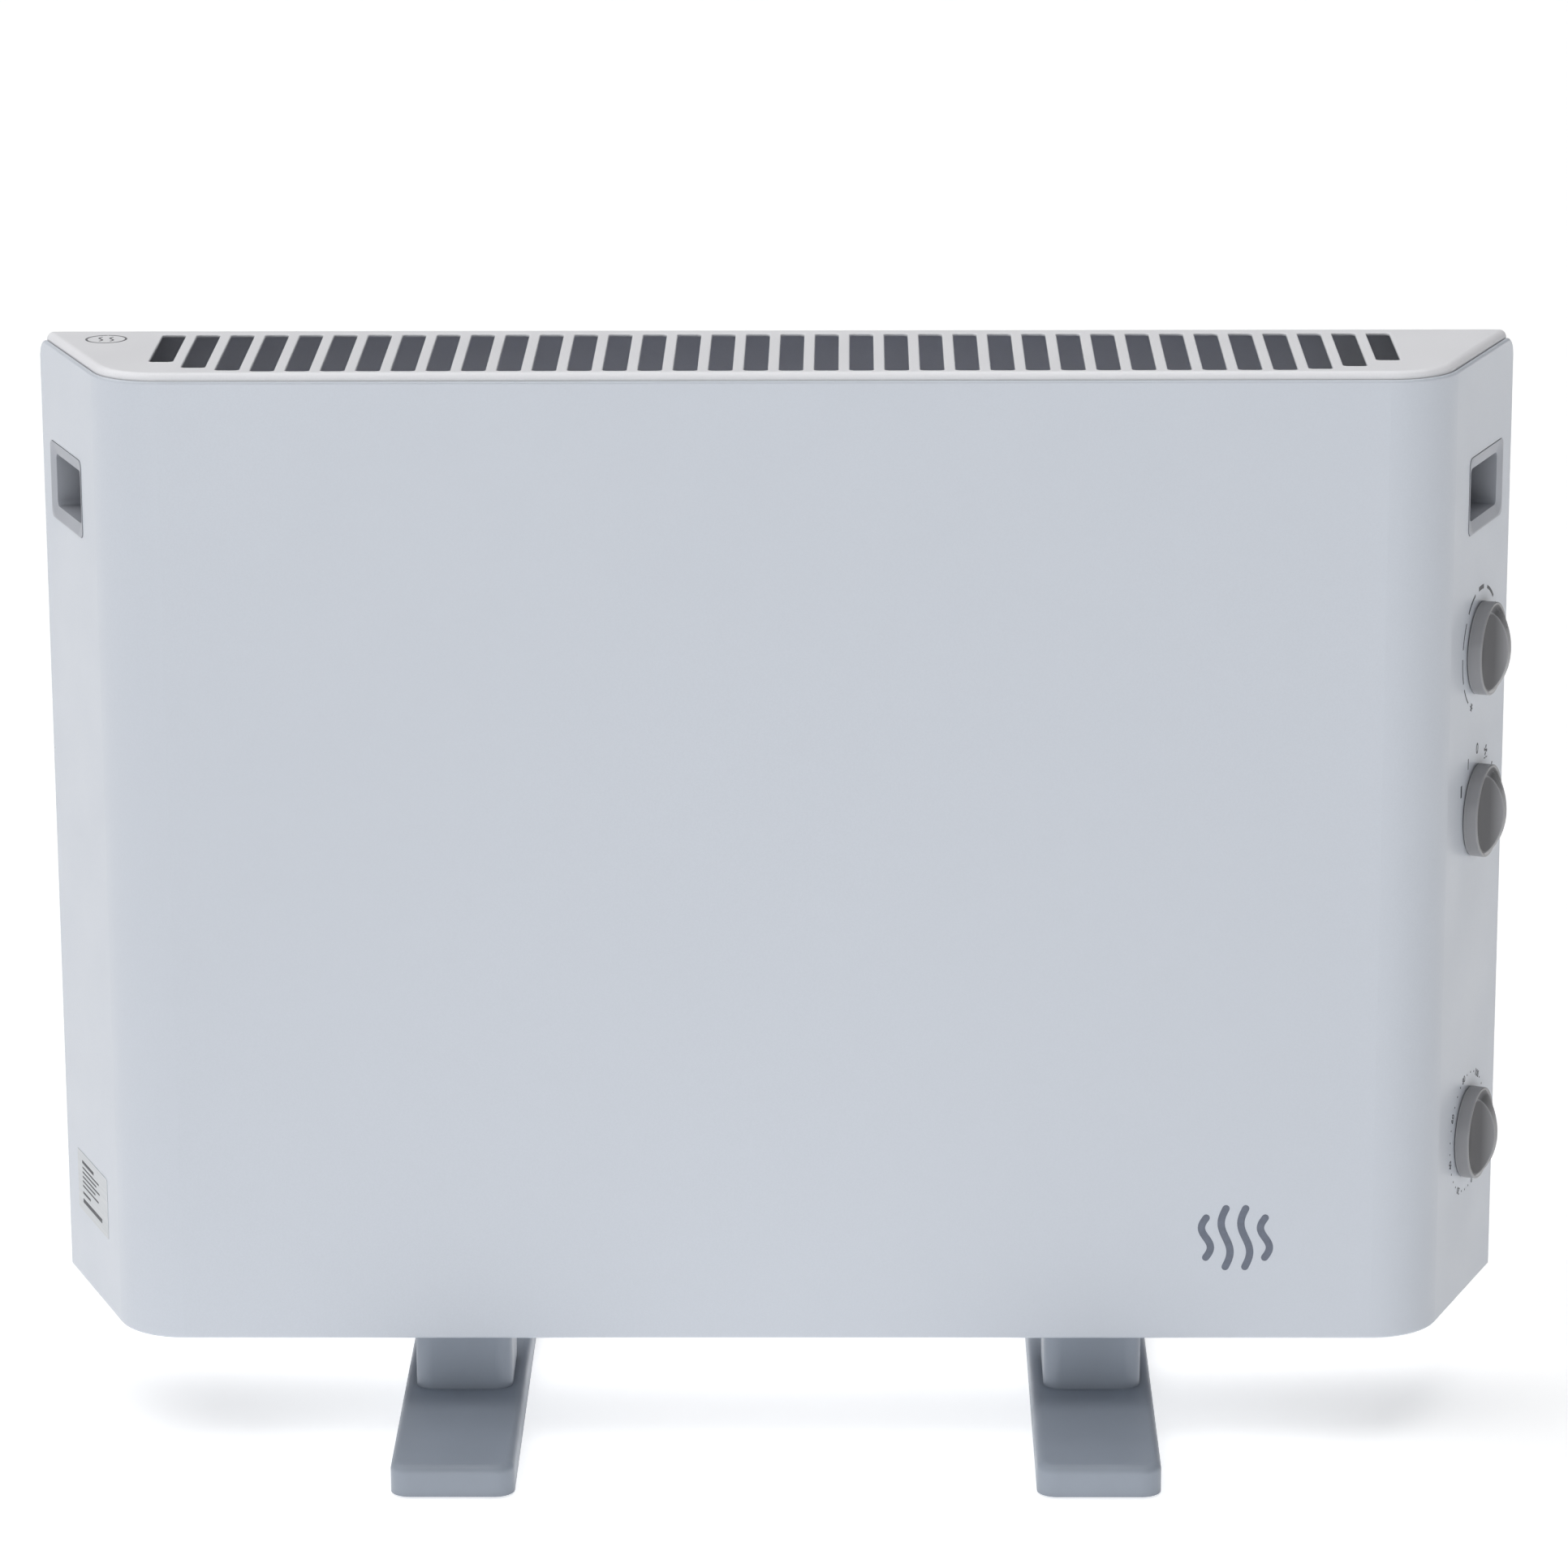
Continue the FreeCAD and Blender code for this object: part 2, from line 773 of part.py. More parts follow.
def handle_cup(side, name):
    """Plastic grip recess: a block behind the wall's window, hollowed, with a sloped bezel."""
    body = new_body(f"handle_cup_{name}")
    half_wide = d.handle_wide / 2 - d.handle_play
    half_tall = d.handle_tall / 2 - d.handle_play
    block = sketch_on(body, f"cup_{name}_plan", d.handle_proud)
    rectangle(block, -half_wide, -half_tall, half_wide, half_tall, d.handle_round)
    pad(body, f"cup_{name}_block", block, d.handle_deep + d.handle_proud, along_normal=False)
    flange = sketch_on(body, f"cup_{name}_flange_plan", -d.sheet)
    reach_wide, reach_tall = half_wide + d.handle_flange, half_tall + d.handle_flange
    rectangle(flange, -reach_wide, -reach_tall, reach_wide, reach_tall, d.handle_round)
    pad(body, f"cup_{name}_flange", flange, d.handle_proud * 5, along_normal=False)
    grip = sketch_on(body, f"cup_{name}_grip_plan", d.handle_proud)
    bezel = d.handle_bezel
    inner_wide, inner_tall = half_wide - bezel, half_tall - bezel
    rectangle(grip, -inner_wide, -inner_tall, inner_wide, inner_tall, d.slot_round)
    hollow = pocket(body, f"cup_{name}_grip", grip, d.handle_deep - d.handle_floor)
    chamfer = body.newObject("PartDesign::Chamfer", f"cup_{name}_bezel")
    chamfer.Base = (hollow, inner_mouth_edges(hollow.Shape, d.handle_proud.value, inner_wide.value))
    chamfer.ChamferType = "Two distances"
    bind(chamfer, "Size", bezel - d.handle_lip)
    bind(chamfer, "Size2", d.bezel_deep)
    doc.recompute()
    put_on_wall(body, side, d.handle_along, d.handle_level)


def rating_label():
    """Thin blank plate stuck to the left wall."""
    body = new_body("rating_label")
    plan = sketch_on(body, "label_plan")
    half_wide, half_tall = d.label_wide / 2, d.label_tall / 2
    rectangle(plan, -half_wide, -half_tall, half_wide, half_tall, d.small_round)
    pad(body, "label_plate", plan, d.label_thick)
    put_on_wall(body, LEFT, d.label_along, d.label_level)


def knob_cap(name):
    """A dished round cap with a lip, a hollow underside and a hub for the shaft."""
    cap = doc.addObject("PartDesign::Body", f"{name}_cap")
    profile = sketch_on(cap, f"{name}_profile", 0, "XZ_Plane")
    lip_inner = d.knob_radius - d.knob_lip
    shell = d.knob_radius - d.knob_wall
    corners = [
        (0, d.knob_gap),
        (d.hub_radius, d.knob_gap),
        (d.hub_radius, d.knob_cavity),
        (shell, d.knob_cavity),
        (shell, d.knob_gap),
        (d.knob_radius, d.knob_gap),
        (d.knob_radius, d.knob_skirt),
        (lip_inner, d.knob_skirt),
        (lip_inner - d.knob_dish, d.knob_floor),
        (0, d.knob_floor),
    ]
    polygon(profile, corners)
    turned = cap.newObject("PartDesign::Revolution", f"{name}_turning")
    turned.Profile = profile
    turned.ReferenceAxis = (profile, ["V_Axis"])
    turned.Angle = 360
    doc.recompute()
    rim = circles_at(turned.Shape, d.knob_radius.value, d.knob_skirt.value)
    fillet(cap, f"{name}_rim", turned, rim, d.knob_round)
    return cap


def crest_ball(name, depth):
    """A ball whose top lies that deep under a knob's crest, and which runs down to the lip."""
    lip_inner = d.knob_radius - d.knob_lip
    rise = d.knob_crest - d.knob_skirt
    crest_radius = (lip_inner * lip_inner + rise * rise) / (2 * rise)
    ball = doc.addObject("Part::Sphere", name)
    bind(ball, "Radius", crest_radius - depth)
    place_at(ball, (0, 0, d.knob_crest - crest_radius))
    return ball


def knob_ridge(name):
    """The grip across a knob: a low dome scooped out on both sides, which leaves an arched crest."""
    dome = crest_ball(f"{name}_dome", 0)
    rim_radius = d.knob_radius - d.knob_lip / 2
    inside = cylinder(f"{name}_inside", (0, 0, d.knob_cavity), rim_radius, d.knob_crest)
    half = d.crest_half + d.scoop_radius
    corner = (-half, -d.knob_radius, d.knob_floor - d.knob_bite)
    slab = box(f"{name}_slab", corner, (half * 2, d.knob_radius * 2, d.knob_crest))
    blank = doc.addObject("Part::MultiCommon", f"{name}_ridge_blank")
    blank.Shapes = [dome, inside, slab]
    rise = d.knob_floor + d.scoop_radius
    across = d.knob_radius * 4
    scoops = []
    for side, hand in ((LEFT, "left"), (RIGHT, "right")):
        start = (side * half, -across / 2, rise)
        scoops.append(cylinder(f"{name}_{hand}_scoop", start, d.scoop_radius, across, V(0, 1, 0)))
    return cut(f"{name}_ridge", blank, fused(f"{name}_scoops", scoops))


def knob_pointer(name):
    """The line engraved along one end of the crest, as the solid to take away."""
    start = d.pointer_start if POINTERS[name] == UP else -d.pointer_end
    size = (d.pointer_wide, d.pointer_end - d.pointer_start, d.knob_crest)
    line = box(f"{name}_line", (-d.pointer_wide / 2, start, d.knob_floor), size)
    return cut(f"{name}_pointer", line, crest_ball(f"{name}_line_bed", d.pointer_deep))


def knob(name):
    """Round control knob on its shaft."""
    level = level_of(name)
    blank = fused(f"{name}_blank", [knob_cap(name), knob_ridge(name)])
    whole = cut(f"{name}_whole", blank, knob_pointer(name))
    bore = cylinder(f"{name}_bore", (0, 0, -d.plate), d.shaft_radius, d.shaft_reach + d.plate)
    piece = keep(cut(f"{name}_knob", whole, bore), f"{name}_knob")
    put_on_wall(piece, RIGHT, d.control_along, level)
    shaft = cylinder(f"{name}_shaft", (0, 0, 0), d.shaft_radius, d.sheet + d.shaft_inset + d.shaft_reach)
    shaft.Placement = Placement(V(), wall_turn(RIGHT))
    place_at(shaft, wall_point(RIGHT, d.control_along, level, -d.sheet - d.shaft_inset))
    keep(shaft, f"{name}_shaft")


def control_housing(name, tab_columns):
    """Switch housing behind the right wall: flange, body, shaft bore and push-on terminals."""
    half_wide = getattr(d, f"{name}_case_wide") / 2
    deep = getattr(d, f"{name}_case_deep")
    body = new_body(f"{name}_housing")
    flange = sketch_on(body, f"{name}_flange_plan", -d.sheet)
    flange_half, flange_tall = d.control_flange_wide / 2, d.control_flange_tall / 2
    rectangle(flange, -flange_half, -flange_tall, flange_half, flange_tall, d.handle_round)
    pad(body, f"{name}_flange", flange, d.control_flange, along_normal=False)
    face = -d.sheet - d.control_flange
    case = sketch_on(body, f"{name}_case_plan", face)
    if name == ROUND_CASE:
        circle(case, 0, 0, half_wide)
    else:
        half_tall = getattr(d, f"{name}_case_tall") / 2
        rectangle(case, -half_wide, -half_tall, half_wide, half_tall, d.slot_round)
    pad(body, f"{name}_case", case, deep, along_normal=False)
    tabs = sketch_on(body, f"{name}_tab_plan", face - deep)
    for column in tab_columns:
        for row in (-1, 1):
            left = column * d.tab_spread - d.tab_wide / 2
            low = row * d.tab_spread - d.tab_thick / 2
            rectangle(tabs, left, low, left + d.tab_wide, low + d.tab_thick)
    pad(body, f"{name}_tabs", tabs, d.tab_long, along_normal=False)
    holes = sketch_on(body, f"{name}_screw_plan", -d.sheet)
    for row in (-1, 1):
        circle(holes, 0, row * d.control_screw_reach, d.control_screw_radius)
    pocket(body, f"{name}_screw_holes", holes, d.control_screw_long)
    bore = sketch_on(body, f"{name}_bore_plan", -d.sheet)
    circle(bore, 0, 0, d.shaft_radius + d.shaft_fit)
    pocket(body, f"{name}_bore", bore, d.shaft_inset + d.knob_gap)
    put_on_wall(body, RIGHT, d.control_along, level_of(name))


# ---------------------------------------------------------------- fasteners


def screw(name, head_radius, head_tall, shank_radius, shank_long):
    """Cross-recess screw: its head stands on the local XY plane, its shank runs down from it."""
    head = doc.addObject("Part::Cone", f"{name}_head")
    bind(head, "Radius1", head_radius)
    bind(head, "Radius2", head_radius * d.head_taper)
    bind(head, "Height", head_tall)
    shank = cylinder(f"{name}_shank", (0, 0, -shank_long), shank_radius, shank_long)
    half = d.recess_wide / 2
    reach = head_radius * d.recess_reach
    arms = [
        box(f"{name}_arm_0", (-reach, -half, head_tall / 2), (reach * 2, half * 2, head_tall)),
        box(f"{name}_arm_1", (-half, -reach, head_tall / 2), (half * 2, reach * 2, head_tall)),
    ]
    return cut(name, fused(f"{name}_blank", [head, shank]), fused(f"{name}_recess", arms))


def rear_screws():
    members = []
    turn = Rotation(V(0, 0, 1), V(0, 1, 0))
    for side in (LEFT, RIGHT):
        for row in range(DIMENSIONS["rear_screw_rows"]):
            name = f"rear_screw_{len(members)}"
            piece = screw(name, d.rear_head, d.rear_head_tall, d.screw_hole, d.sheet * 5)
            piece.Placement = Placement(V(), turn)
            level = BASE + d.rear_screw_level + row * d.rear_screw_step
            place_at(piece, (side * d.rear_screw_x, REAR, level))
            members.append(piece)
    group("rear_screws", members)


def control_screws():
    members = []
    for level in map(level_of, CONTROLS):
        for row in (-1, 1):
            name = f"control_screw_{len(members)}"
            long = d.sheet + d.control_screw_long
            piece = screw(name, d.control_head, d.control_head_tall, d.control_screw_radius, long)
            put_on_wall(piece, RIGHT, d.control_along, level + row * d.control_screw_reach)
            members.append(piece)
    group("control_screws", members)


def foot_screws():
    members = []
    for side in (LEFT, RIGHT):
        for end in (-1, 1):
            name = f"foot_screw_{len(members)}"
            seat = d.foot_lift + d.foot_counterbore
            long = BASE + d.sheet * 2 - seat + d.plate * 3
            piece = screw(name, d.foot_head, d.foot_head_tall, d.foot_screw_radius, long)
            piece.Placement = Placement(V(), Rotation(V(1, 0, 0), 180))
            place_at(piece, (side * d.foot_spread / 2, end * d.foot_screw_reach, seat))
            members.append(piece)
    group("foot_screws", members)


# ---------------------------------------------------------------- feet


def foot(side, name):
    """Moulded bar foot: a long flat bar with soft top edges and an upright block under the casing."""
    body = new_body(f"foot_{name}")
    half_wide, half_long = d.foot_wide / 2, d.foot_long / 2
    bar = sketch_on(body, f"foot_{name}_plan", d.foot_lift)
    rectangle(bar, -half_wide, -half_long, half_wide, half_long, d.foot_round)
    block = pad(body, f"foot_{name}_bar", bar, d.foot_tall - d.foot_lift)
    fillet(body, f"foot_{name}_edge", block, level_edges(block.Shape, d.foot_tall.value), d.foot_soft)
    upright = sketch_on(body, f"foot_{name}_block_plan", d.foot_tall)
    wide, long = d.block_wide / 2, d.block_long / 2
    rectangle(upright, -wide, -long, wide, long, d.block_round)
    pad(body, f"foot_{name}_block", upright, BASE + d.sheet - d.foot_tall)
    holes = sketch_on(body, f"foot_{name}_screw_plan", d.foot_lift)
    recesses = sketch_on(body, f"foot_{name}_recess_plan", d.foot_lift)
    for end in (-1, 1):
        circle(holes, 0, end * d.foot_screw_reach, d.foot_screw_radius)
        circle(recesses, 0, end * d.foot_screw_reach, d.foot_recess)
    pocket(body, f"foot_{name}_recesses", recesses, d.foot_counterbore, along_normal=True)
    pocket(body, f"foot_{name}_screw_holes", holes, BASE + d.sheet, along_normal=True)
    seats = sketch_on(body, f"foot_{name}_pad_plan", d.foot_lift)
    for end in (-1, 1):
        circle(seats, 0, end * d.pad_reach, d.pad_radius)
    pocket(body, f"foot_{name}_pad_seats", seats, d.pad_thick - d.foot_lift, along_normal=True)
    place_at(body, (side * d.foot_spread / 2, 0, 0))


def foot_pads():
    members = []
    for side in (LEFT, RIGHT):
        for end in (-1, 1):
            centre = (side * d.foot_spread / 2, end * d.pad_reach, 0)
            members.append(cylinder(f"foot_pad_{len(members)}", centre, d.pad_radius, d.pad_thick))
    group("foot_pads", members)


# ---------------------------------------------------------------- heating chamber


def partition(name, x, holes):
    """Upright sheet between front and rear that closes one end of the heating chamber."""
    body = new_body(name)
    plan = sketch_on(body, f"{name}_plan", x, "YZ_Plane")
    margin = d.sheet * 2 + d.grille_gap
    rectangle(plan, FRONT + margin, BASE + margin, REAR - margin, TOP - d.grille_skirt - d.plate)
    pad(body, f"{name}_sheet", plan, d.plate)
    if holes:
        cuts = sketch_on(body, f"{name}_hole_plan", x, "YZ_Plane")
        bush_holes(cuts)
        pocket(body, f"{name}_holes", cuts, d.plate, along_normal=True)


def wire_ends():
    """Where the two resistance wires leave the chamber: their distances from the middle and levels."""
    half = (d.wire_runs - 1) * d.wire_pitch / 2
    lower = d.element_level + d.element_tall / 2 - d.wire_level
    upper = d.element_level + d.element_tall / 2 + d.wire_level
    return [(side * half, level) for level in (lower, upper) for side in (LEFT, RIGHT)]


def bush_holes(sketch):
    for y, level in wire_ends():
        circle(sketch, y, level, d.bush_radius)


def heat_shield(name, y):
    """Thin reflective sheet that keeps the element's heat off the painted front or the back."""
    body = new_body(name)
    plan = sketch_on(body, f"{name}_plan", -y, "XZ_Plane")
    rectangle(plan, d.left_wall_x + d.plate, d.shield_low, d.right_wall_x, d.shield_high)
    pad(body, f"{name}_sheet", plan, d.plate / 2)


def element_frame():
    """Sheet-metal ring that spans the chamber and carries the mica cards."""
    body = new_body("element_frame")
    outer = sketch_on(body, "element_outer", d.element_level)
    left, right = d.left_wall_x + d.plate, d.right_wall_x
    rectangle(outer, left, -d.element_half, right, d.element_half)
    pad(body, "element_block", outer, d.element_tall)
    inner = sketch_on(body, "element_inner", d.element_level)
    wall = d.plate
    rectangle(inner, left + wall, wall - d.element_half, right - wall, d.element_half - wall)
    pocket(body, "element_opening", inner, d.element_tall, along_normal=True)
    holes = sketch_on(body, "element_bush_plan", right, "YZ_Plane")
    bush_holes(holes)
    pocket(body, "element_bush_holes", holes, d.plate * 2)


def card_x(index):
    reach = d.right_wall_x - d.left_wall_x - d.card_margin * 2
    return d.left_wall_x + d.card_margin + index * reach / (d.card_count - 1)


def mica_card(index):
    """Insulating card across the frame, pierced for every run of both wires."""
    name = f"mica_card_{index + 1}"
    body = new_body(name)
    plan = sketch_on(body, f"{name}_plan", card_x(index), "YZ_Plane")
    half = d.element_half - d.plate
    low = d.element_level + d.plate
    rectangle(plan, -half, low, half, low + d.element_tall - d.plate * 2)
    first = (d.wire_runs - 1) * d.wire_pitch / 2
    for run in range(DIMENSIONS["wire_runs"]):
        for side in (LEFT, RIGHT):
            level = d.element_level + d.element_tall / 2 + side * d.wire_level
            circle(plan, run * d.wire_pitch - first, level, d.wire_hole)
    pad(body, f"{name}_sheet", plan, d.plate)


def resistance_wire(name, level):
    """One wire laid to and fro along the frame: straight runs joined by half-circle turns."""
    pitch, runs = d.wire_pitch.value, DIMENSIONS["wire_runs"]
    left = d.left_wall_x.value + d.wire_margin.value
    right = d.right_wall_x.value - d.wire_margin.value
    exit_x = d.right_wall_x.value + d.wire_exit.value
    first = -(runs - 1) * pitch / 2
    height = level.value
    edges = []
    for run in range(runs):
        y = first + run * pitch
        start = exit_x if run in (0, runs - 1) else right
        ends = [V(start, y, height), V(left, y, height)]
        if run % 2:
            ends.reverse()
        edges.append(Part.makeLine(*ends))
        if run < runs - 1:
            bulge = -1 if run % 2 == 0 else 1
            turn_x = left if run % 2 == 0 else right
            middle = V(turn_x + bulge * pitch / 2, y + pitch / 2, height)
            edges.append(Part.Arc(V(turn_x, y, height), middle, V(turn_x, y + pitch, height)).toShape())
    section = Part.Wire(Part.makeCircle(d.wire_radius.value, V(exit_x, first, height), V(1, 0, 0)))
    piece = keep(doc.addObject("Part::Feature", name), name)
    piece.Shape = Part.Wire(edges).makePipeShell([section], True, True)


def ceramic_bushes():
    """Four tubes that carry the wire ends through the frame and the right partition."""
    members = []
    for y, level in wire_ends():
        name = f"ceramic_bush_{len(members)}"
        start = (d.right_wall_x - d.bush_half, y, level)
        tube = cylinder(f"{name}_tube", start, d.bush_radius, d.bush_half * 2 + d.plate, V(1, 0, 0))
        bore = cylinder(f"{name}_bore", start, d.wire_hole, d.bush_half * 3, V(1, 0, 0))
        members.append(cut(name, tube, bore))
    group("ceramic_bushes", members)


def thermal_cutout():
    """Disc thermostat on the rear shield, over the element: flange, disc and two terminals."""
    body = new_body("thermal_cutout")
    face = d.shield_y
    flange = sketch_on(body, "cutout_flange_plan", -face, "XZ_Plane")
    rectangle(flange, -d.cutout_wide, -d.cutout_radius, d.cutout_wide, d.cutout_radius, d.handle_round)
    pad(body, "cutout_flange", flange, d.plate)
    disc = sketch_on(body, "cutout_disc_plan", -face + d.plate, "XZ_Plane")
    circle(disc, 0, 0, d.cutout_radius)
    pad(body, "cutout_disc", disc, d.cutout_tall)
    tabs = sketch_on(body, "cutout_tab_plan", -face + d.plate + d.cutout_tall, "XZ_Plane")
    for side in (LEFT, RIGHT):
        left = side * d.cutout_radius / 2 - d.tab_thick / 2
        rectangle(tabs, left, -d.tab_wide / 2, left + d.tab_thick, d.tab_wide / 2)
    pad(body, "cutout_tabs", tabs, d.tab_long)
    place_at(body, (d.cutout_x, 0, d.element_level + d.element_tall + d.cutout_wide))


# ---------------------------------------------------------------- fan


def fan_plate():
    """Level sheet across the chamber with the fan's round mouth."""
    body = new_body("fan_plate")
    plan = sketch_on(body, "fan_plate_plan", d.fan_level)
    margin = d.sheet * 2 + d.grille_gap
    rectangle(plan, d.left_wall_x + d.plate, FRONT + margin, d.right_wall_x, REAR - margin)
    pad(body, "fan_plate_sheet", plan, d.plate)
    mouth = sketch_on(body, "fan_mouth_plan", d.fan_level)
    circle(mouth, 0, 0, d.fan_mouth)
    for side in (LEFT, RIGHT):
        circle(mouth, side * d.bracket_screw_x, 0, d.control_screw_radius)
    pocket(body, "fan_mouth", mouth, d.plate, along_normal=True)


def fan_bracket():
    """Hat-shaped strap hung under the fan plate: it carries the upper bearing and the motor."""
    body = new_body("fan_bracket")
    profile = sketch_on(body, "bracket_profile", -d.bracket_half, "XZ_Plane")
    strap = d.sheet
    low = d.fan_level - d.bracket_drop
    leg, foot_end = d.bracket_leg, d.bracket_leg + d.bracket_foot
    polygon(
        profile,
        [
            (-leg, low),
            (leg, low),
            (leg, d.fan_level - strap),
            (foot_end, d.fan_level - strap),
            (foot_end, d.fan_level),
            (leg - strap, d.fan_level),
            (leg - strap, low + strap),
            (strap - leg, low + strap),
            (strap - leg, d.fan_level),
            (-foot_end, d.fan_level),
            (-foot_end, d.fan_level - strap),
            (-leg, d.fan_level - strap),
        ],
    )
    pad(body, "bracket_strap", profile, d.bracket_half * 2)
    holes = sketch_on(body, "bracket_hole_plan", low)
    circle(holes, 0, 0, d.bearing_radius)
    for side in (LEFT, RIGHT):
        circle(holes, side * d.motor_screw_x, 0, d.motor_screw_radius)
    pocket(body, "bracket_holes", holes, strap, along_normal=True)
    ends = sketch_on(body, "bracket_end_plan", d.fan_level - strap)
    for side in (LEFT, RIGHT):
        circle(ends, side * d.bracket_screw_x, 0, d.control_screw_radius)
    pocket(body, "bracket_end_holes", ends, strap, along_normal=True)


def stator_low():
    return d.fan_level - d.bracket_drop - d.stator_tall


def fan_stator():
    """Laminated stack with the rotor's bore and a window round the limb that carries the coil."""
    body = new_body("fan_stator")
    low = stator_low()
    plan = sketch_on(body, "stator_plan", low)
    half = d.stator_half
    rectangle(plan, -half, -half + d.plate * 2, half, d.limb_outer)
    circle(plan, 0, 0, d.rotor_radius + d.rotor_gap)
    for side in (LEFT, RIGHT):
        circle(plan, side * d.motor_screw_x, 0, d.motor_screw_radius)
    rectangle(plan, -d.coil_half, d.coil_inner, d.coil_half, d.limb_inner)
    pad(body, "stator_stack", plan, d.stator_tall)


def fan_coil():
    """Winding round the stator's outer limb."""
    body = new_body("fan_coil")
    plan = sketch_on(body, "coil_plan", -d.coil_half, "YZ_Plane")
    low, high = stator_low(), stator_low() + d.stator_tall
    swell = d.coil_swell
    outer = d.limb_outer + swell
    rectangle(plan, d.coil_inner, low - swell, outer, high + swell, d.handle_round / 2)
    rectangle(plan, d.limb_inner, low, d.limb_outer, high)
    pad(body, "coil_winding", plan, d.coil_half * 2)


def motor_strap():
    """Flat strap under the motor with the lower bearing's hole."""
    body = new_body("motor_strap")
    low = stator_low() - d.sheet
    plan = sketch_on(body, "motor_strap_plan", low)
    rectangle(plan, -d.stator_half, -d.bracket_half, d.stator_half, d.bracket_half)
    circle(plan, 0, 0, d.bearing_radius)
    for side in (LEFT, RIGHT):
        circle(plan, side * d.motor_screw_x, 0, d.motor_screw_radius)
    pad(body, "motor_strap_sheet", plan, d.sheet)


def bearing(name, low):
    """Plain bush with a running fit on the fan's shaft."""
    body = new_body(name)
    plan = sketch_on(body, f"{name}_plan", low)
    circle(plan, 0, 0, d.bearing_radius)
    circle(plan, 0, 0, d.fan_shaft + d.shaft_fit)
    pad(body, f"{name}_bush", plan, d.bearing_long)


def fan_rotating_parts():
    """Shaft, rotor and impeller, all on the fan's axis."""
    low = stator_low()
    shaft_low = low - d.bearing_long
    shaft_long = d.fan_level + d.impeller_rise - shaft_low
    keep(cylinder("fan_shaft", (0, 0, shaft_low), d.fan_shaft, shaft_long), "fan_shaft")
    start = (0, 0, low + d.rotor_inset)
    long = d.stator_tall - d.rotor_inset * 2
    rotor = cylinder("fan_rotor_drum", start, d.rotor_radius, long)
    bore = cylinder("fan_rotor_bore", start, d.fan_shaft, long)
    keep(cut("fan_rotor", rotor, bore), "fan_rotor")
    impeller()


def blade_section(radius, pitch, rise):
    """A blade's section at one radius: a thin rectangle turned to its pitch, as tall as rise."""
    half_chord = rise / math.sin(math.radians(pitch)) / 2
    half_thick = d.blade_thick.value / 2
    corners = [
        V(radius, -half_chord, -half_thick),
        V(radius, half_chord, -half_thick),
        V(radius, half_chord, half_thick),
        V(radius, -half_chord, half_thick),
    ]
    wire = Part.makePolygon(corners + corners[:1])
    wire.rotate(V(), V(1, 0, 0), pitch)
    return wire


def impeller():
    """Axial fan wheel: a hub with a shaft bore and pitched blades."""
    tall, hub, margin = d.impeller_tall.value, d.fan_hub.value, d.plate.value
    low = d.fan_level.value + d.impeller_rise.value - tall
    count = DIMENSIONS["blade_count"]
    root = blade_section(hub - margin, d.blade_root_pitch.value, tall - margin * 2)
    tip = blade_section(d.impeller_radius.value, d.blade_tip_pitch.value, tall - margin * 2)
    shape = Part.makeCylinder(hub, tall, V(0, 0, low))
    for index in range(count):
        blade = Part.makeLoft([root, tip], True, True)
        blade.translate(V(0, 0, low + tall / 2))
        blade.rotate(V(), V(0, 0, 1), index * 360 / count)
        shape = shape.fuse(blade)
    bore = Part.makeCylinder(d.fan_shaft.value, tall + margin * 2, V(0, 0, low - margin))
    piece = keep(doc.addObject("Part::Feature", "fan_impeller"), "fan_impeller")
    piece.Shape = shape.cut(bore).removeSplitter()


def motor_screws():
    """Two long screws that clamp the straps to the stack, and two short ones that hold the bracket."""
    clamp = (d.motor_screw_x, stator_low() - d.sheet, d.motor_screw_radius, d.stator_tall + d.sheet * 2)
    hanger = (d.bracket_screw_x, d.fan_level - d.sheet, d.control_screw_radius, d.sheet + d.plate)
    members = []
    for x, level, radius, long in (clamp, hanger):
        for side in (LEFT, RIGHT):
            name = f"motor_screw_{len(members)}"
            piece = screw(name, d.control_head, d.control_head_tall, radius, long)
            piece.Placement = Placement(V(), Rotation(V(1, 0, 0), 180))
            place_at(piece, (side * x, 0, level))
            members.append(piece)
    group("motor_screws", members)


# ---------------------------------------------------------------- mains inlet and wiring


def terminal_block():
    """Three-way block on the right partition, with a wire hole and a screw well for each way."""
    body = new_body("terminal_block")
    face = d.right_wall_x + d.plate
    plan = sketch_on(body, "terminal_plan", face, "YZ_Plane")
    half = d.terminal_pitch * 3 / 2
    level = d.terminal_level
    rectangle(plan, -half, level, half, level + d.terminal_tall, d.small_round)
    pad(body, "terminal_case", plan, d.terminal_deep)
    wells = sketch_on(body, "terminal_well_plan", face + d.terminal_deep, "YZ_Plane")
    for way in (-1, 0, 1):
        for row in (1, 3):
            circle(wells, way * d.terminal_pitch, level + row * d.terminal_tall / 4, d.terminal_screw)
    pocket(body, "terminal_wells", wells, d.terminal_deep / 2)


def terminal_screws():
    members = []
    face = d.right_wall_x + d.plate + d.terminal_deep / 2
    for way in (-1, 0, 1):
        for row in (1, 3):
            centre = (face, way * d.terminal_pitch, d.terminal_level + row * d.terminal_tall / 4)
            name = f"terminal_screw_{len(members)}"
            members.append(cylinder(name, centre, d.terminal_screw, d.terminal_deep / 4, V(1, 0, 0)))
    group("terminal_screws", members)


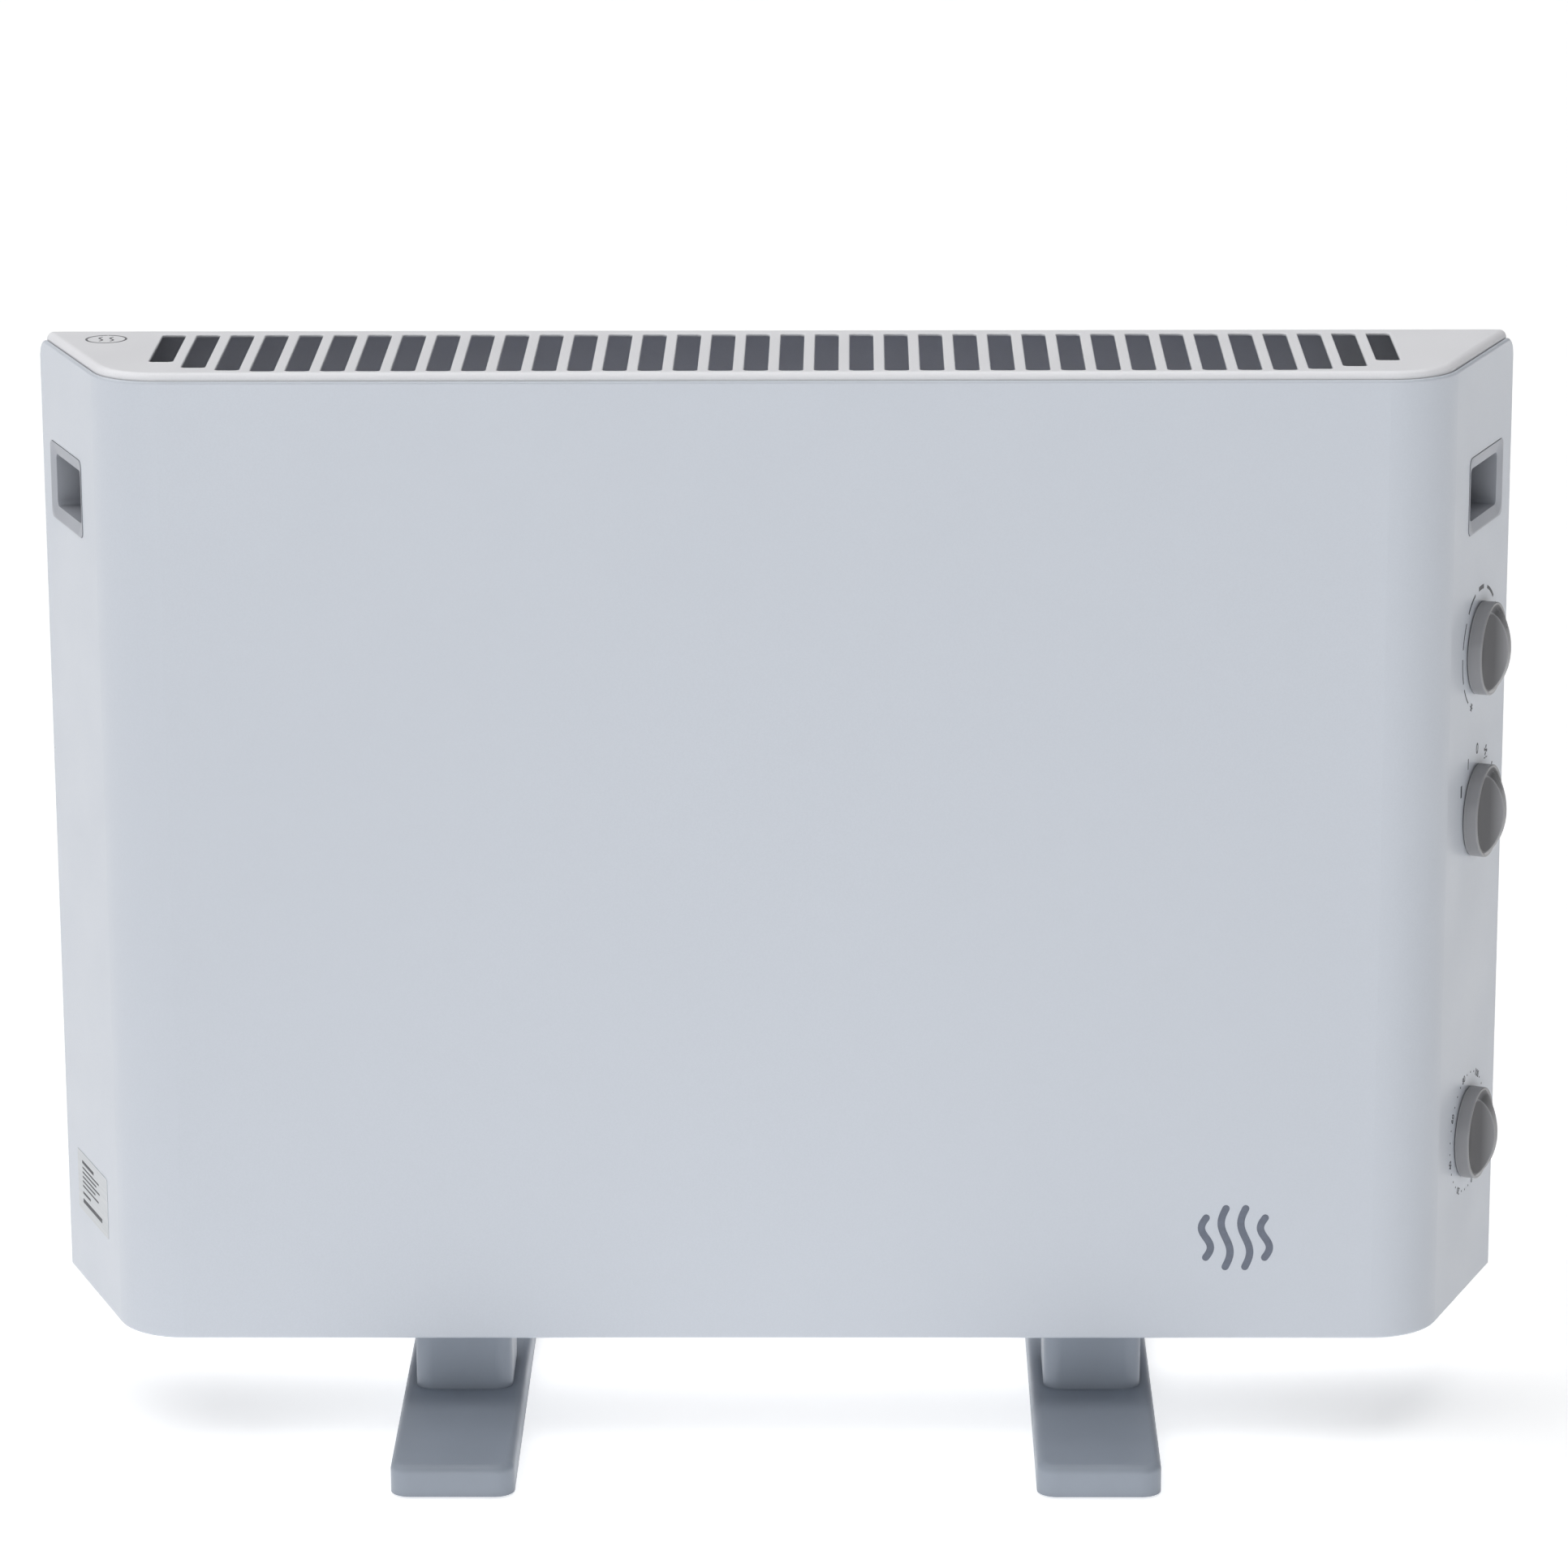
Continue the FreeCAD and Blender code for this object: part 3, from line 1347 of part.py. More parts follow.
def lead(points, radius):
    """A bent wire along points: straight runs joined by tangent arcs."""
    corners = [V(*point) for point in points]
    edges = []
    start = corners[0]
    for before, corner, after in zip(corners, corners[1:], corners[2:]):
        back, ahead = before - corner, after - corner
        half_angle = back.getAngle(ahead) / 2
        reach = d.lead_bend_share.value * min(back.Length, ahead.Length)
        back.normalize()
        ahead.normalize()
        entry, leave = corner + back * reach, corner + ahead * reach
        bend = reach * math.tan(half_angle)
        towards = (back + ahead).normalize()
        middle = corner + towards * (bend / math.sin(half_angle) - bend)
        edges.append(Part.makeLine(start, entry))
        edges.append(Part.Arc(entry, middle, leave).toShape())
        start = leave
    edges.append(Part.makeLine(start, corners[-1]))
    section = Part.Wire(Part.makeCircle(radius, corners[0], corners[1] - corners[0]))
    return Part.Wire(edges).makePipeShell([section], True, True)


def internal_leads():
    """Insulated leads that run up from the wire ends, side by side, to below the selector."""
    ends = wire_ends()
    exit_x = (d.right_wall_x + d.wire_exit).value
    step = d.lead_step.value
    shapes = []
    for index, (end_y, end_level) in enumerate(ends):
        y, level = end_y.value, end_level.value
        lane = (index + len(ends) // 2) % len(ends)
        outer_x = exit_x + d.lead_gap.value + step * lane
        turn_level = d.lead_level.value - d.lead_drop.value * index
        top = (outer_x, d.lead_end_y.value + step * index, d.lead_end_level.value)
        route = [(exit_x, y, level), (outer_x, y, level), (outer_x, y, turn_level), top]
        shapes.append(lead(route, d.lead_radius.value))
    piece = keep(doc.addObject("Part::Feature", "internal_leads"), "internal_leads")
    piece.Shape = Part.makeCompound(shapes)


def cord_gland():
    """Flanged bush in the rear panel through which a mains cord would enter."""
    body = new_body("cord_gland")
    face = REAR - d.sheet
    flange = sketch_on(body, "gland_flange_plan", -face, "XZ_Plane")
    circle(flange, 0, 0, d.gland_flange)
    flange_pad = pad(body, "gland_flange", flange, d.gland_flange_tall, along_normal=False)
    outer_face = face + d.gland_flange_tall

    def on_outer_face(edge):
        return all(abs(vertex.Y - outer_face.value) < CLOSE for vertex in edge.Vertexes)

    fillet(body, "gland_edge", flange_pad, edges_where(flange_pad.Shape, on_outer_face), d.plate)
    stem = sketch_on(body, "gland_stem_plan", -face, "XZ_Plane")
    circle(stem, 0, 0, d.gland_radius)
    pad(body, "gland_stem", stem, d.gland_stem)
    bore = sketch_on(body, "gland_bore_plan", -outer_face, "XZ_Plane")
    circle(bore, 0, 0, d.gland_bore)
    pocket(body, "gland_bore", bore, d.gland_stem + d.gland_flange_tall, along_normal=True)
    place_at(body, (d.gland_x, 0, BASE + d.gland_level))


def gland_nut():
    """Hexagon nut that holds the gland from inside."""
    prism = doc.addObject("Part::Prism", "gland_nut_blank")
    prism.Polygon = 6
    bind(prism, "Circumradius", d.gland_nut)
    bind(prism, "Height", d.gland_nut_tall)
    prism.Placement = Placement(V(), Rotation(V(0, 0, 1), V(0, -1, 0)))
    start = (d.gland_x, REAR - d.sheet * 2, BASE + d.gland_level)
    place_at(prism, start)
    hole = cylinder("gland_nut_hole", start, d.gland_radius, d.gland_nut_tall, V(0, -1, 0))
    keep(cut("gland_nut", prism, hole), "gland_nut")


def check_features():
    """Stop if anything failed to build, or if a cut took nothing away."""
    for obj in doc.Objects:
        if "Invalid" in obj.State or "Error" in obj.State:
            raise RuntimeError(f"{obj.Label} did not build: {obj.State}")
        if obj.TypeId != "PartDesign::Pocket":
            continue
        if obj.BaseFeature.Shape.Volume - obj.Shape.Volume < LEAST_CUT:
            raise RuntimeError(f"{obj.Label} cuts nothing")
    for node in nodes:
        if node.Shape.isNull() or not node.Shape.isValid() or not node.Shape.Solids:
            raise RuntimeError(f"{node.Label} has no valid solid")


def build():
    casing_shell()
    top_grille()
    rear_panel()
    bottom_grille()
    handle_cup(LEFT, "left")
    handle_cup(RIGHT, "right")
    rating_label()
    for name, tab_columns in CONTROLS.items():
        knob(name)
        control_housing(name, tab_columns)
    control_screws()
    rear_screws()
    foot(LEFT, "left")
    foot(RIGHT, "right")
    foot_screws()
    foot_pads()
    partition("left_partition", d.left_wall_x, False)
    partition("right_partition", d.right_wall_x, True)
    heat_shield("front_heat_shield", -d.shield_y)
    heat_shield("rear_heat_shield", d.shield_y + d.plate / 2)
    element_frame()
    for index in range(DIMENSIONS["card_count"]):
        mica_card(index)
    middle = d.element_level + d.element_tall / 2
    resistance_wire("lower_resistance_wire", middle - d.wire_level)
    resistance_wire("upper_resistance_wire", middle + d.wire_level)
    ceramic_bushes()
    thermal_cutout()
    fan_plate()
    fan_bracket()
    fan_stator()
    fan_coil()
    motor_strap()
    bearing("upper_bearing", d.fan_level - d.bracket_drop)
    bearing("lower_bearing", stator_low() - d.bearing_long + d.plate)
    fan_rotating_parts()
    motor_screws()
    terminal_block()
    terminal_screws()
    internal_leads()
    cord_gland()
    gland_nut()
    doc.recompute()
    check_features()
    os.makedirs("parts", exist_ok=True)
    for node in nodes:
        node.Shape.exportStep(f"parts/{node.Label}.step")


build()
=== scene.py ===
import json
from math import ceil, cos, pi, radians, sin, tau

import bmesh
import bpy
from mathutils import Matrix, Vector


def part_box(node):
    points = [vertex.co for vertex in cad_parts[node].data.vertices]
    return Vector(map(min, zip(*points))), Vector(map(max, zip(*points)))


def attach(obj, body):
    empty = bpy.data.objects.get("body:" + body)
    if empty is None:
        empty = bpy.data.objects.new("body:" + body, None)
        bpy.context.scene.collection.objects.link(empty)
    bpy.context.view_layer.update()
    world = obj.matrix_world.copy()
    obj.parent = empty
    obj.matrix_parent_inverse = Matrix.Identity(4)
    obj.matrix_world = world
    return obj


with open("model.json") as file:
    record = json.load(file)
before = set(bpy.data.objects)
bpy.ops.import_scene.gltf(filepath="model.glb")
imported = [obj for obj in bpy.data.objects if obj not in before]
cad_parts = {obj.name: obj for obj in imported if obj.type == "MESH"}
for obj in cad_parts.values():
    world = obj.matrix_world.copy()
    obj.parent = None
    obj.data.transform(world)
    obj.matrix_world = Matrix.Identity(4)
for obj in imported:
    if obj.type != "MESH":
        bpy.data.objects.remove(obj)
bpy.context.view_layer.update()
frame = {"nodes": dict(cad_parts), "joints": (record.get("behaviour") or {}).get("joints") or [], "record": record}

MM = 0.001
UP = Vector((0, 0, 1))
NODES = frame["nodes"]
JOINTS = {joint["name"]: joint for joint in frame["joints"]}

DIALS = ("thermostat_turn", "selector_turn", "timer_turn")

# Printed marks are thin films: they stand this far proud of the surface and sink this far into it.
INK_PROUD = 0.05 * MM
INK_SUNK = 0.03 * MM

# Noise rarely leaves this band, so the finishes stretch the band to their full range.
NOISE_LOW, NOISE_HIGH = 0.3, 0.7

# Painted shade darkens a knob's scoops inside this reach from its axis and under this height over the wall.
SCOOP_SHADE_REACH = (17.8 * MM, 18.7 * MM)
SCOOP_SHADE_HEIGHT = (7.5 * MM, 12 * MM)


# ---------------------------------------------------------------- finishes


class Finish:
    """A node material around one Principled shader, with short calls for the nodes it needs."""

    def __init__(self, name, **sockets):
        self.material = bpy.data.materials.new(name)
        self.material.use_nodes = True
        self.tree = self.material.node_tree
        self.shader = self.tree.nodes["Principled BSDF"]
        self.place = self.add("ShaderNodeTexCoord").outputs["Object"]
        for socket, value in sockets.items():
            self.set(socket.replace("_", " "), value)

    def add(self, kind, inputs=None, **settings):
        node = self.tree.nodes.new(kind)
        for key, value in settings.items():
            setattr(node, key, value)
        for key, value in (inputs or {}).items():
            self.feed(node.inputs[key], value)
        return node

    def feed(self, socket, value):
        if isinstance(value, bpy.types.NodeSocket):
            self.tree.links.new(value, socket)
        elif socket.type == "RGBA" and len(value) == 3:
            socket.default_value = (*value, 1)
        else:
            socket.default_value = value

    def set(self, socket, value):
        self.feed(self.shader.inputs[socket], value)

    def stretched(self, x=1.0, y=1.0, z=1.0):
        """The object's coordinates, scaled axis by axis, for streaks and brushing."""
        return self.add("ShaderNodeMapping", {"Vector": self.place, "Scale": (x, y, z)}).outputs[0]

    def noise(self, scale, detail=4.0, roughness=0.5, where=None):
        place = where or self.place
        inputs = {"Vector": place, "Scale": scale, "Detail": detail, "Roughness": roughness}
        return self.add("ShaderNodeTexNoise", inputs).outputs["Fac"]

    def mottle(self, scale, detail=4.0, start=0.0, end=1.0):
        """Soft patches that run from start to end."""
        return self.spread(self.noise(scale, detail), NOISE_LOW, NOISE_HIGH, start, end)

    def cells(self, scale, where=None):
        """Distance to the nearest of many scattered points, for specks and grain."""
        inputs = {"Vector": where or self.place, "Scale": scale}
        return self.add("ShaderNodeTexVoronoi", inputs).outputs["Distance"]

    def spread(self, value, low, high, start=0.0, end=1.0):
        """Map value from low..high to start..end, held at both ends."""
        inputs = {"Value": value, "From Min": low, "From Max": high, "To Min": start, "To Max": end}
        return self.add("ShaderNodeMapRange", inputs).outputs[0]

    def mix(self, factor, first, second):
        node = self.add("ShaderNodeMix", data_type="RGBA")
        for socket, value in (("Factor_Float", factor), ("A_Color", first), ("B_Color", second)):
            self.feed(next(s for s in node.inputs if s.identifier == socket), value)
        return next(s for s in node.outputs if s.identifier == "Result_Color")

    def number(self, operation, first, second):
        """One step of plain arithmetic, such as MULTIPLY or MINIMUM."""
        return self.add("ShaderNodeMath", {0: first, 1: second}, operation=operation).outputs[0]

    def times(self, first, second):
        return self.number("MULTIPLY", first, second)

    def vector(self, operation, first, second):
        """A number worked out from two vectors, such as their DISTANCE or DOT_PRODUCT."""
        node = self.add("ShaderNodeVectorMath", {0: first, 1: second}, operation=operation)
        return node.outputs["Value"]

    def relief(self, height, depth, strength):
        """Fine relief over the whole surface, depth metres from its lowest to its highest."""
        inputs = {"Height": height, "Distance": depth, "Strength": strength}
        self.set("Normal", self.add("ShaderNodeBump", inputs).outputs[0])

    def crevice_shade(self, reach, low=0.55, high=1.0):
        """Near 1 in corners and folds, where shade falls, near 0 on open surfaces: the mask for painted shade."""
        shade = self.add("ShaderNodeAmbientOcclusion", {"Distance": reach}, samples=8).outputs["AO"]
        return self.spread(shade, low, high, 1.0, 0.0)

    def edge_wear_and_highlight(self, radius):
        """Near 1 on sharp outer edges, where a finish wears first and where light catches; the knob finish uses it
        for a painted highlight.
        """
        soft = self.add("ShaderNodeBevel", {"Radius": radius}, samples=6).outputs[0]
        sharp = self.add("ShaderNodeNewGeometry").outputs["Normal"]
        return self.spread(self.vector("DOT_PRODUCT", soft, sharp), 0.9, 0.995, 1.0, 0.0)


def tint(colour, gain):
    return tuple(min(channel * gain, 1.0) for channel in colour)


def enamel(name, colour, roughness=0.36):
    """Stoved gloss paint on sheet steel: orange peel, fine fleck, dust specks, painted shade in folds."""
    f = Finish(name, Coat_Weight=0.15, Coat_Roughness=0.1, IOR=1.4)
    fleck = f.spread(f.noise(1500.0, 2.0), 0.35, 0.65)
    cloud = f.mottle(5.0, 1.0)
    tone = f.mix(fleck, tint(colour, 0.985), tint(colour, 1.012))
    tone = f.mix(f.times(cloud, 0.5), tone, tint(colour, 0.99))
    specks = f.spread(f.cells(34.0), 0.012, 0.02, 1.0, 0.0)
    sparse = f.spread(f.noise(19.0, 1.0), 0.62, 0.64)
    tone = f.mix(f.times(specks, sparse), tone, tint(colour, 0.55))
    # Painted shade: the paint darkens in folds and corners, where light is blocked.
    tone = f.mix(f.times(f.crevice_shade(0.004), 0.22), tone, tint(colour, 0.45))
    f.set("Base Color", tone)
    f.set("Roughness", f.mottle(26.0, 5.0, roughness - 0.04, roughness + 0.07))
    f.relief(f.noise(420.0, 2.0), 0.04 * MM, 0.2)
    return f.material


def moulded(name, colour, roughness=0.45, grain=900.0, hollow=0.005, shade=0.35):
    """Moulded plastic: eroded grain, slight tone change, paler worn edges, painted shade in hollows."""
    f = Finish(name, IOR=1.46)
    tone = f.mix(f.mottle(30.0), tint(colour, 0.95), tint(colour, 1.05))
    tone = f.mix(f.times(f.edge_wear_and_highlight(0.0006), 0.6), tone, tint(colour, 1.12))
    # Painted shade: darker in hollows, as far as hollow reaches and as strong as shade.
    tone = f.mix(f.times(f.crevice_shade(hollow, 0.3, 0.9), shade), tone, tint(colour, 0.35))
    f.set("Base Color", tone)
    f.set("Roughness", f.mottle(60.0, 5.0, roughness - 0.06, roughness + 0.08))
    f.relief(f.noise(grain, 3.0), 0.04 * MM, 0.5)
    return f.material


def knob_finish_with_painted_light(name, colour, roughness=0.36):
    """Knob plastic: painted shade in the scoops, and a painted highlight along the edges of lip and crest."""
    f = Finish(name, IOR=1.46)
    tone = f.mix(f.mottle(30.0), tint(colour, 0.96), tint(colour, 1.04))
    reach = None
    for dial in DIALS:
        away = f.vector("DISTANCE", f.place, JOINTS[dial]["pos_m"])
        reach = away if reach is None else f.number("MINIMUM", reach, away)
    timer = JOINTS[DIALS[-1]]
    out = -Vector(timer["axis"])
    wall = Vector(timer["pos_m"]).dot(out)
    height = f.vector("DOT_PRODUCT", f.place, out)
    # Painted shade in the scoops: darker near each dial's axis and low over the wall.
    low = f.spread(height, wall + SCOOP_SHADE_HEIGHT[0], wall + SCOOP_SHADE_HEIGHT[1], 1.0, 0.0)
    within = f.spread(reach, *SCOOP_SHADE_REACH, 1.0, 0.0)
    tone = f.mix(f.times(f.times(low, within), 0.62), tone, tint(colour, 0.12))
    # Painted highlight: paler along the edges of lip and crest.
    f.set("Base Color", f.mix(f.times(f.edge_wear_and_highlight(0.0012), 0.7), tone, tint(colour, 1.4)))
    f.set("Roughness", f.mottle(60.0, 5.0, roughness - 0.05, roughness + 0.08))
    f.relief(f.noise(900.0, 3.0), 0.03 * MM, 0.4)
    return f.material


def bare_metal(name, colour, roughness=0.38, brushed=(1.0, 1.0, 1.0), stain=0.75):
    """Uncoated metal: drawn or rolled streaks, patchy oxide, brighter worn edges."""
    f = Finish(name, Metallic=1.0)
    streaks = f.noise(160.0, 4.0, where=f.stretched(*brushed))
    patches = f.spread(f.noise(22.0, 5.0, 0.6), 0.35, 0.7)
    tone = f.mix(patches, colour, tint(colour, stain))
    tone = f.mix(f.times(f.edge_wear_and_highlight(0.0004), 0.5), tone, tint(colour, 1.25))
    f.set("Base Color", tone)
    f.set("Roughness", f.spread(streaks, 0.25, 0.75, roughness - 0.07, roughness + 0.14))
    f.relief(streaks, 0.03 * MM, 0.4)
    return f.material


def galvanised(name, colour, roughness=0.42, metallic=0.85):
    """Zinc-coated sheet: spangle crystals of slightly different tone and gloss, and painted shade in corners."""
    f = Finish(name, Metallic=metallic)
    node = f.add("ShaderNodeTexVoronoi", {"Vector": f.place, "Scale": 190.0})
    crystal = f.add("ShaderNodeSeparateColor", {"Color": node.outputs["Color"]}).outputs[0]
    tone = f.mix(crystal, tint(colour, 0.82), tint(colour, 1.1))
    # Painted shade: darker in corners and folds.
    f.set("Base Color", f.mix(f.times(f.crevice_shade(0.006), 0.4), tone, tint(colour, 0.4)))
    f.set("Roughness", f.spread(crystal, 0.0, 1.0, roughness - 0.1, roughness + 0.12))
    f.relief(f.noise(300.0, 3.0), 0.03 * MM, 0.4)
    return f.material


def flaky(name, colour):
    """Mica board: pressed flakes with a dull pearly sheen."""
    f = Finish(name, Sheen_Weight=0.3, Sheen_Roughness=0.4)
    flakes = f.cells(480.0, f.stretched(1.0, 1.0, 1.6))
    tone = f.mix(f.spread(flakes, 0.1, 0.6), tint(colour, 0.7), tint(colour, 1.2))
    f.set("Base Color", f.mix(f.spread(f.noise(45.0), 0.4, 0.7), tone, tint(colour, 0.6)))
    f.set("Roughness", f.spread(flakes, 0.1, 0.6, 0.35, 0.6))
    f.relief(flakes, 0.1 * MM, 0.5)
    return f.material


def rubbery(name, colour):
    """Matt rubber with pale dust in patches."""
    f = Finish(name, Sheen_Weight=0.15, Sheen_Roughness=0.5)
    dust = f.spread(f.noise(90.0, 6.0, 0.65), 0.5, 0.75)
    f.set("Base Color", f.mix(dust, colour, tint(colour, 2.2)))
    f.set("Roughness", f.mottle(140.0, start=0.65, end=0.85))
    f.relief(f.noise(1400.0, 3.0), 0.06 * MM, 0.6)
    return f.material


def printed(name, colour):
    """Screen-printing ink: nearly even, with tiny pinholes and a slightly ragged gloss."""
    f = Finish(name, IOR=1.45)
    pinholes = f.spread(f.cells(2600.0), 0.06, 0.12, 1.0, 0.0)
    tone = f.mix(f.mottle(500.0), tint(colour, 0.92), tint(colour, 1.08))
    f.set("Base Color", f.mix(f.times(pinholes, 0.4), tone, tint(colour, 2.4)))
    f.set("Roughness", f.mottle(700.0, start=0.38, end=0.52))
    f.relief(f.noise(1500.0), 0.01 * MM, 0.4)
    return f.material


def glazed(name, colour):
    """Glazed ceramic: a clear coat over a faintly uneven body."""
    f = Finish(name, Coat_Weight=0.5, Coat_Roughness=0.1)
    f.set("Base Color", f.mix(f.spread(f.noise(240.0), 0.4, 0.7), colour, tint(colour, 0.85)))
    f.set("Roughness", f.mottle(300.0, start=0.3, end=0.5))
    f.relief(f.noise(500.0), 0.05 * MM, 0.4)
    return f.material


PAINT = (0.63, 0.665, 0.725)
GREY_PLASTIC = (0.29, 0.29, 0.302)
FRONT_INK = (0.15, 0.17, 0.22)
PALE_INK = (0.17, 0.17, 0.18)
DIAL_INK = (0.035, 0.038, 0.05)
DIAL_FINISH = printed("dial_ink", DIAL_INK)

FINISHES = {
    "casing_paint": enamel("casing_paint", PAINT),
    # Painted light: a paler copy of the casing paint, for the lit top and the shaded inner faces seen through the
    # slots.
    "grille_paint": enamel("grille_paint", (0.9, 0.9, 0.925), 0.38),
    "panel_paint": enamel("panel_paint", (0.52, 0.54, 0.58), 0.42),
    # Painted shade: a long reach and a strong weight darken the handle recesses.
    "handle_plastic": moulded("handle_plastic", (0.42, 0.437, 0.48), 0.42, hollow=0.02, shade=0.75),
    "label_foil": bare_metal("label_foil", (0.62, 0.64, 0.66), 0.38, (0.2, 0.2, 6.0), 0.95),
    "knob_plastic": knob_finish_with_painted_light("knob_plastic", GREY_PLASTIC),
    "shaft_steel": bare_metal("shaft_steel", (0.55, 0.56, 0.57), 0.37, (0.3, 0.3, 3.0)),
    "housing_plastic": moulded("housing_plastic", (0.035, 0.035, 0.04), 0.4),
    "screw_steel": bare_metal("screw_steel", (0.5, 0.51, 0.52), 0.37),
    "foot_plastic": moulded("foot_plastic", (0.30, 0.335, 0.39), 0.4, 1100.0),
    "pad_rubber": rubbery("pad_rubber", (0.03, 0.03, 0.032)),
    "zinc_sheet": galvanised("zinc_sheet", (0.46, 0.48, 0.53)),
    # Painted light: a paler, bluer copy of the zinc sheet, lifting the shaded inside seen through the slots.
    "shield_sheet": galvanised("shield_sheet", (0.66, 0.70, 0.86), 0.42, 0.3),
    "mica": flaky("mica", (0.42, 0.37, 0.27)),
    "heating_wire": bare_metal("heating_wire", (0.33, 0.31, 0.3), 0.45, (1.0, 1.0, 1.0), 0.5),
    "ceramic": glazed("ceramic", (0.75, 0.73, 0.68)),
    "stator_steel": bare_metal("stator_steel", (0.25, 0.26, 0.28), 0.45, (0.2, 0.2, 12.0), 0.6),
    "coil_copper": bare_metal("coil_copper", (0.72, 0.3, 0.15), 0.37, (0.2, 0.2, 14.0), 0.7),
    "bearing_bronze": bare_metal("bearing_bronze", (0.5, 0.34, 0.17)),
    "impeller_plastic": moulded("impeller_plastic", (0.05, 0.052, 0.058), 0.35),
    "lead_insulation": moulded("lead_insulation", (0.45, 0.46, 0.47), 0.5),
    "gland_plastic": moulded("gland_plastic", (0.045, 0.045, 0.05), 0.45),
}


def paint_nodes():
    """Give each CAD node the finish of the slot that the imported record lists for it."""
    for part in frame["record"]["subparts"]:
        mesh = NODES[part["node"]].data
        mesh.materials.clear()
        mesh.materials.append(FINISHES[part["material_slot"]])


# ---------------------------------------------------------------- flat marks


class Plane:
    """A flat face to print on: right and up as its reader sees them, out towards the reader."""

    def __init__(self, origin, right, out):
        self.origin = Vector(origin)
        self.out = Vector(out).normalized()
        self.right = Vector(right).normalized()
        self.up = self.out.cross(self.right)

    def at(self, point, lift=0.0):
        return self.origin + self.right * point[0] + self.up * point[1] + self.out * lift


def polar(radius, degrees):
    """A point at radius from the middle, clockwise from twelve o'clock."""
    return Vector((radius * sin(radians(degrees)), radius * cos(radians(degrees))))


def arc_points(radius, start, end, step=3.0):
    count = max(2, ceil(abs(end - start) / step) + 1)
    return [polar(radius, start + (end - start) * i / (count - 1)) for i in range(count)]


def ring_piece(radius, start, end, width):
    return arc_points(radius + width / 2, start, end) + arc_points(radius - width / 2, end, start)


def ribbon(points, width):
    """The outline of an even band that follows points, with round ends."""
    points = [Vector(p) for p in points]
    left, right = [], []
    for i, point in enumerate(points):
        along = (points[min(i + 1, len(points) - 1)] - points[max(i - 1, 0)]).normalized()
        side = Vector((-along.y, along.x)) * width / 2
        left.append(point + side)
        right.append(point - side)
    far_end = round_end(points[-2], points[-1], width)
    near_end = round_end(points[1], points[0], width)
    return left + far_end + right[::-1] + near_end


def round_end(before, tip, width, count=5):
    """The points of a half circle at a band's tip, from its left side to its right."""
    along = (tip - before).normalized()
    side = Vector((-along.y, along.x))
    angles = [pi * (i + 1) / (count + 1) for i in range(count)]
    return [tip + (side * cos(a) + along * sin(a)) * width / 2 for a in angles]


def rounded_bar(centre, wide, tall, radius, turn=0.0, count=4):
    """A rectangle with rounded corners, turned clockwise by turn degrees."""
    points = []
    for quarter, (sx, sy) in enumerate(((1, 1), (-1, 1), (-1, -1), (1, -1))):
        middle = Vector((sx * (wide / 2 - radius), sy * (tall / 2 - radius)))
        for i in range(count + 1):
            angle = (quarter + i / count) * pi / 2
            points.append(middle + Vector((cos(angle), sin(angle))) * radius)
    spin = Matrix.Rotation(-radians(turn), 2)
    return [Vector(centre) + spin @ point for point in points]


def dot(centre, radius, count=16):
    angles = [tau * i / count for i in range(count)]
    return [Vector(centre) + Vector((cos(a), sin(a))) * radius for a in angles]


def printed_mesh(name, plane, outlines, proud=INK_PROUD, sunk=INK_SUNK):
    """One closed thin solid for each outline, all in one mesh."""
    verts, faces = [], []
    for outline in outlines:
        first, count = len(verts), len(outline)
        verts += [plane.at(p, proud) for p in outline] + [plane.at(p, -sunk) for p in outline]
        faces.append([first + i for i in range(count)])
        faces.append([first + count + i for i in reversed(range(count))])
        for i in range(count):
            j = (i + 1) % count
            faces.append([first + i, first + count + i, first + count + j, first + j])
    mesh = bpy.data.meshes.new(name)
    mesh.from_pydata(verts, [], faces)
    return mesh


def add_piece(name, mesh, finish, body):
    piece = bpy.data.objects.new(name, mesh)
    bpy.context.scene.collection.objects.link(piece)
    mesh.materials.append(finish)
    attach(piece, body)
    return piece


def weld(mesh):
    """Join the points that lie on one another, so that each solid is closed."""
    shape = bmesh.new()
    shape.from_mesh(mesh)
    bmesh.ops.remove_doubles(shape, verts=shape.verts, dist=0.002 * MM)
    bmesh.ops.recalc_face_normals(shape, faces=shape.faces)
    shape.to_mesh(mesh)
    shape.free()


def digits_mesh(plane, words):
    """Plain numbers as thin solids: words lists (text, middle, height, turn in degrees)."""
    verts, faces = [], []
    for text, middle, tall, turn in words:
        curve = bpy.data.curves.new("digits", "FONT")
        curve.body = text
        curve.size = tall * 1.4
        curve.align_x = "CENTER"
        curve.align_y = "CENTER"
        curve.offset = 0.02 * tall
        curve.resolution_u = 3
        curve.extrude = (INK_PROUD + INK_SUNK) / 2
        holder = bpy.data.objects.new("digits", curve)
        flat = bpy.data.meshes.new_from_object(holder)
        spin = Matrix.Rotation(-radians(turn), 2)
        first = len(verts)
        for vertex in flat.vertices:
            spot = Vector(middle) + spin @ vertex.co.to_2d()
            verts.append(plane.at(spot, vertex.co.z + (INK_PROUD - INK_SUNK) / 2))
        faces += [[first + i for i in face.vertices] for face in flat.polygons]
        bpy.data.objects.remove(holder)
        bpy.data.curves.remove(curve)
        bpy.data.meshes.remove(flat)
    mesh = bpy.data.meshes.new("numbers")
    mesh.from_pydata(verts, [], faces)
    weld(mesh)
    return mesh


def dial_plane(joint_name):
    """The wall around a dial: its joint sits on the wall, and turns about the inward normal."""
    joint = JOINTS[joint_name]
    outward = -Vector(joint["axis"])
    return Plane(joint["pos_m"], UP.cross(outward), outward)


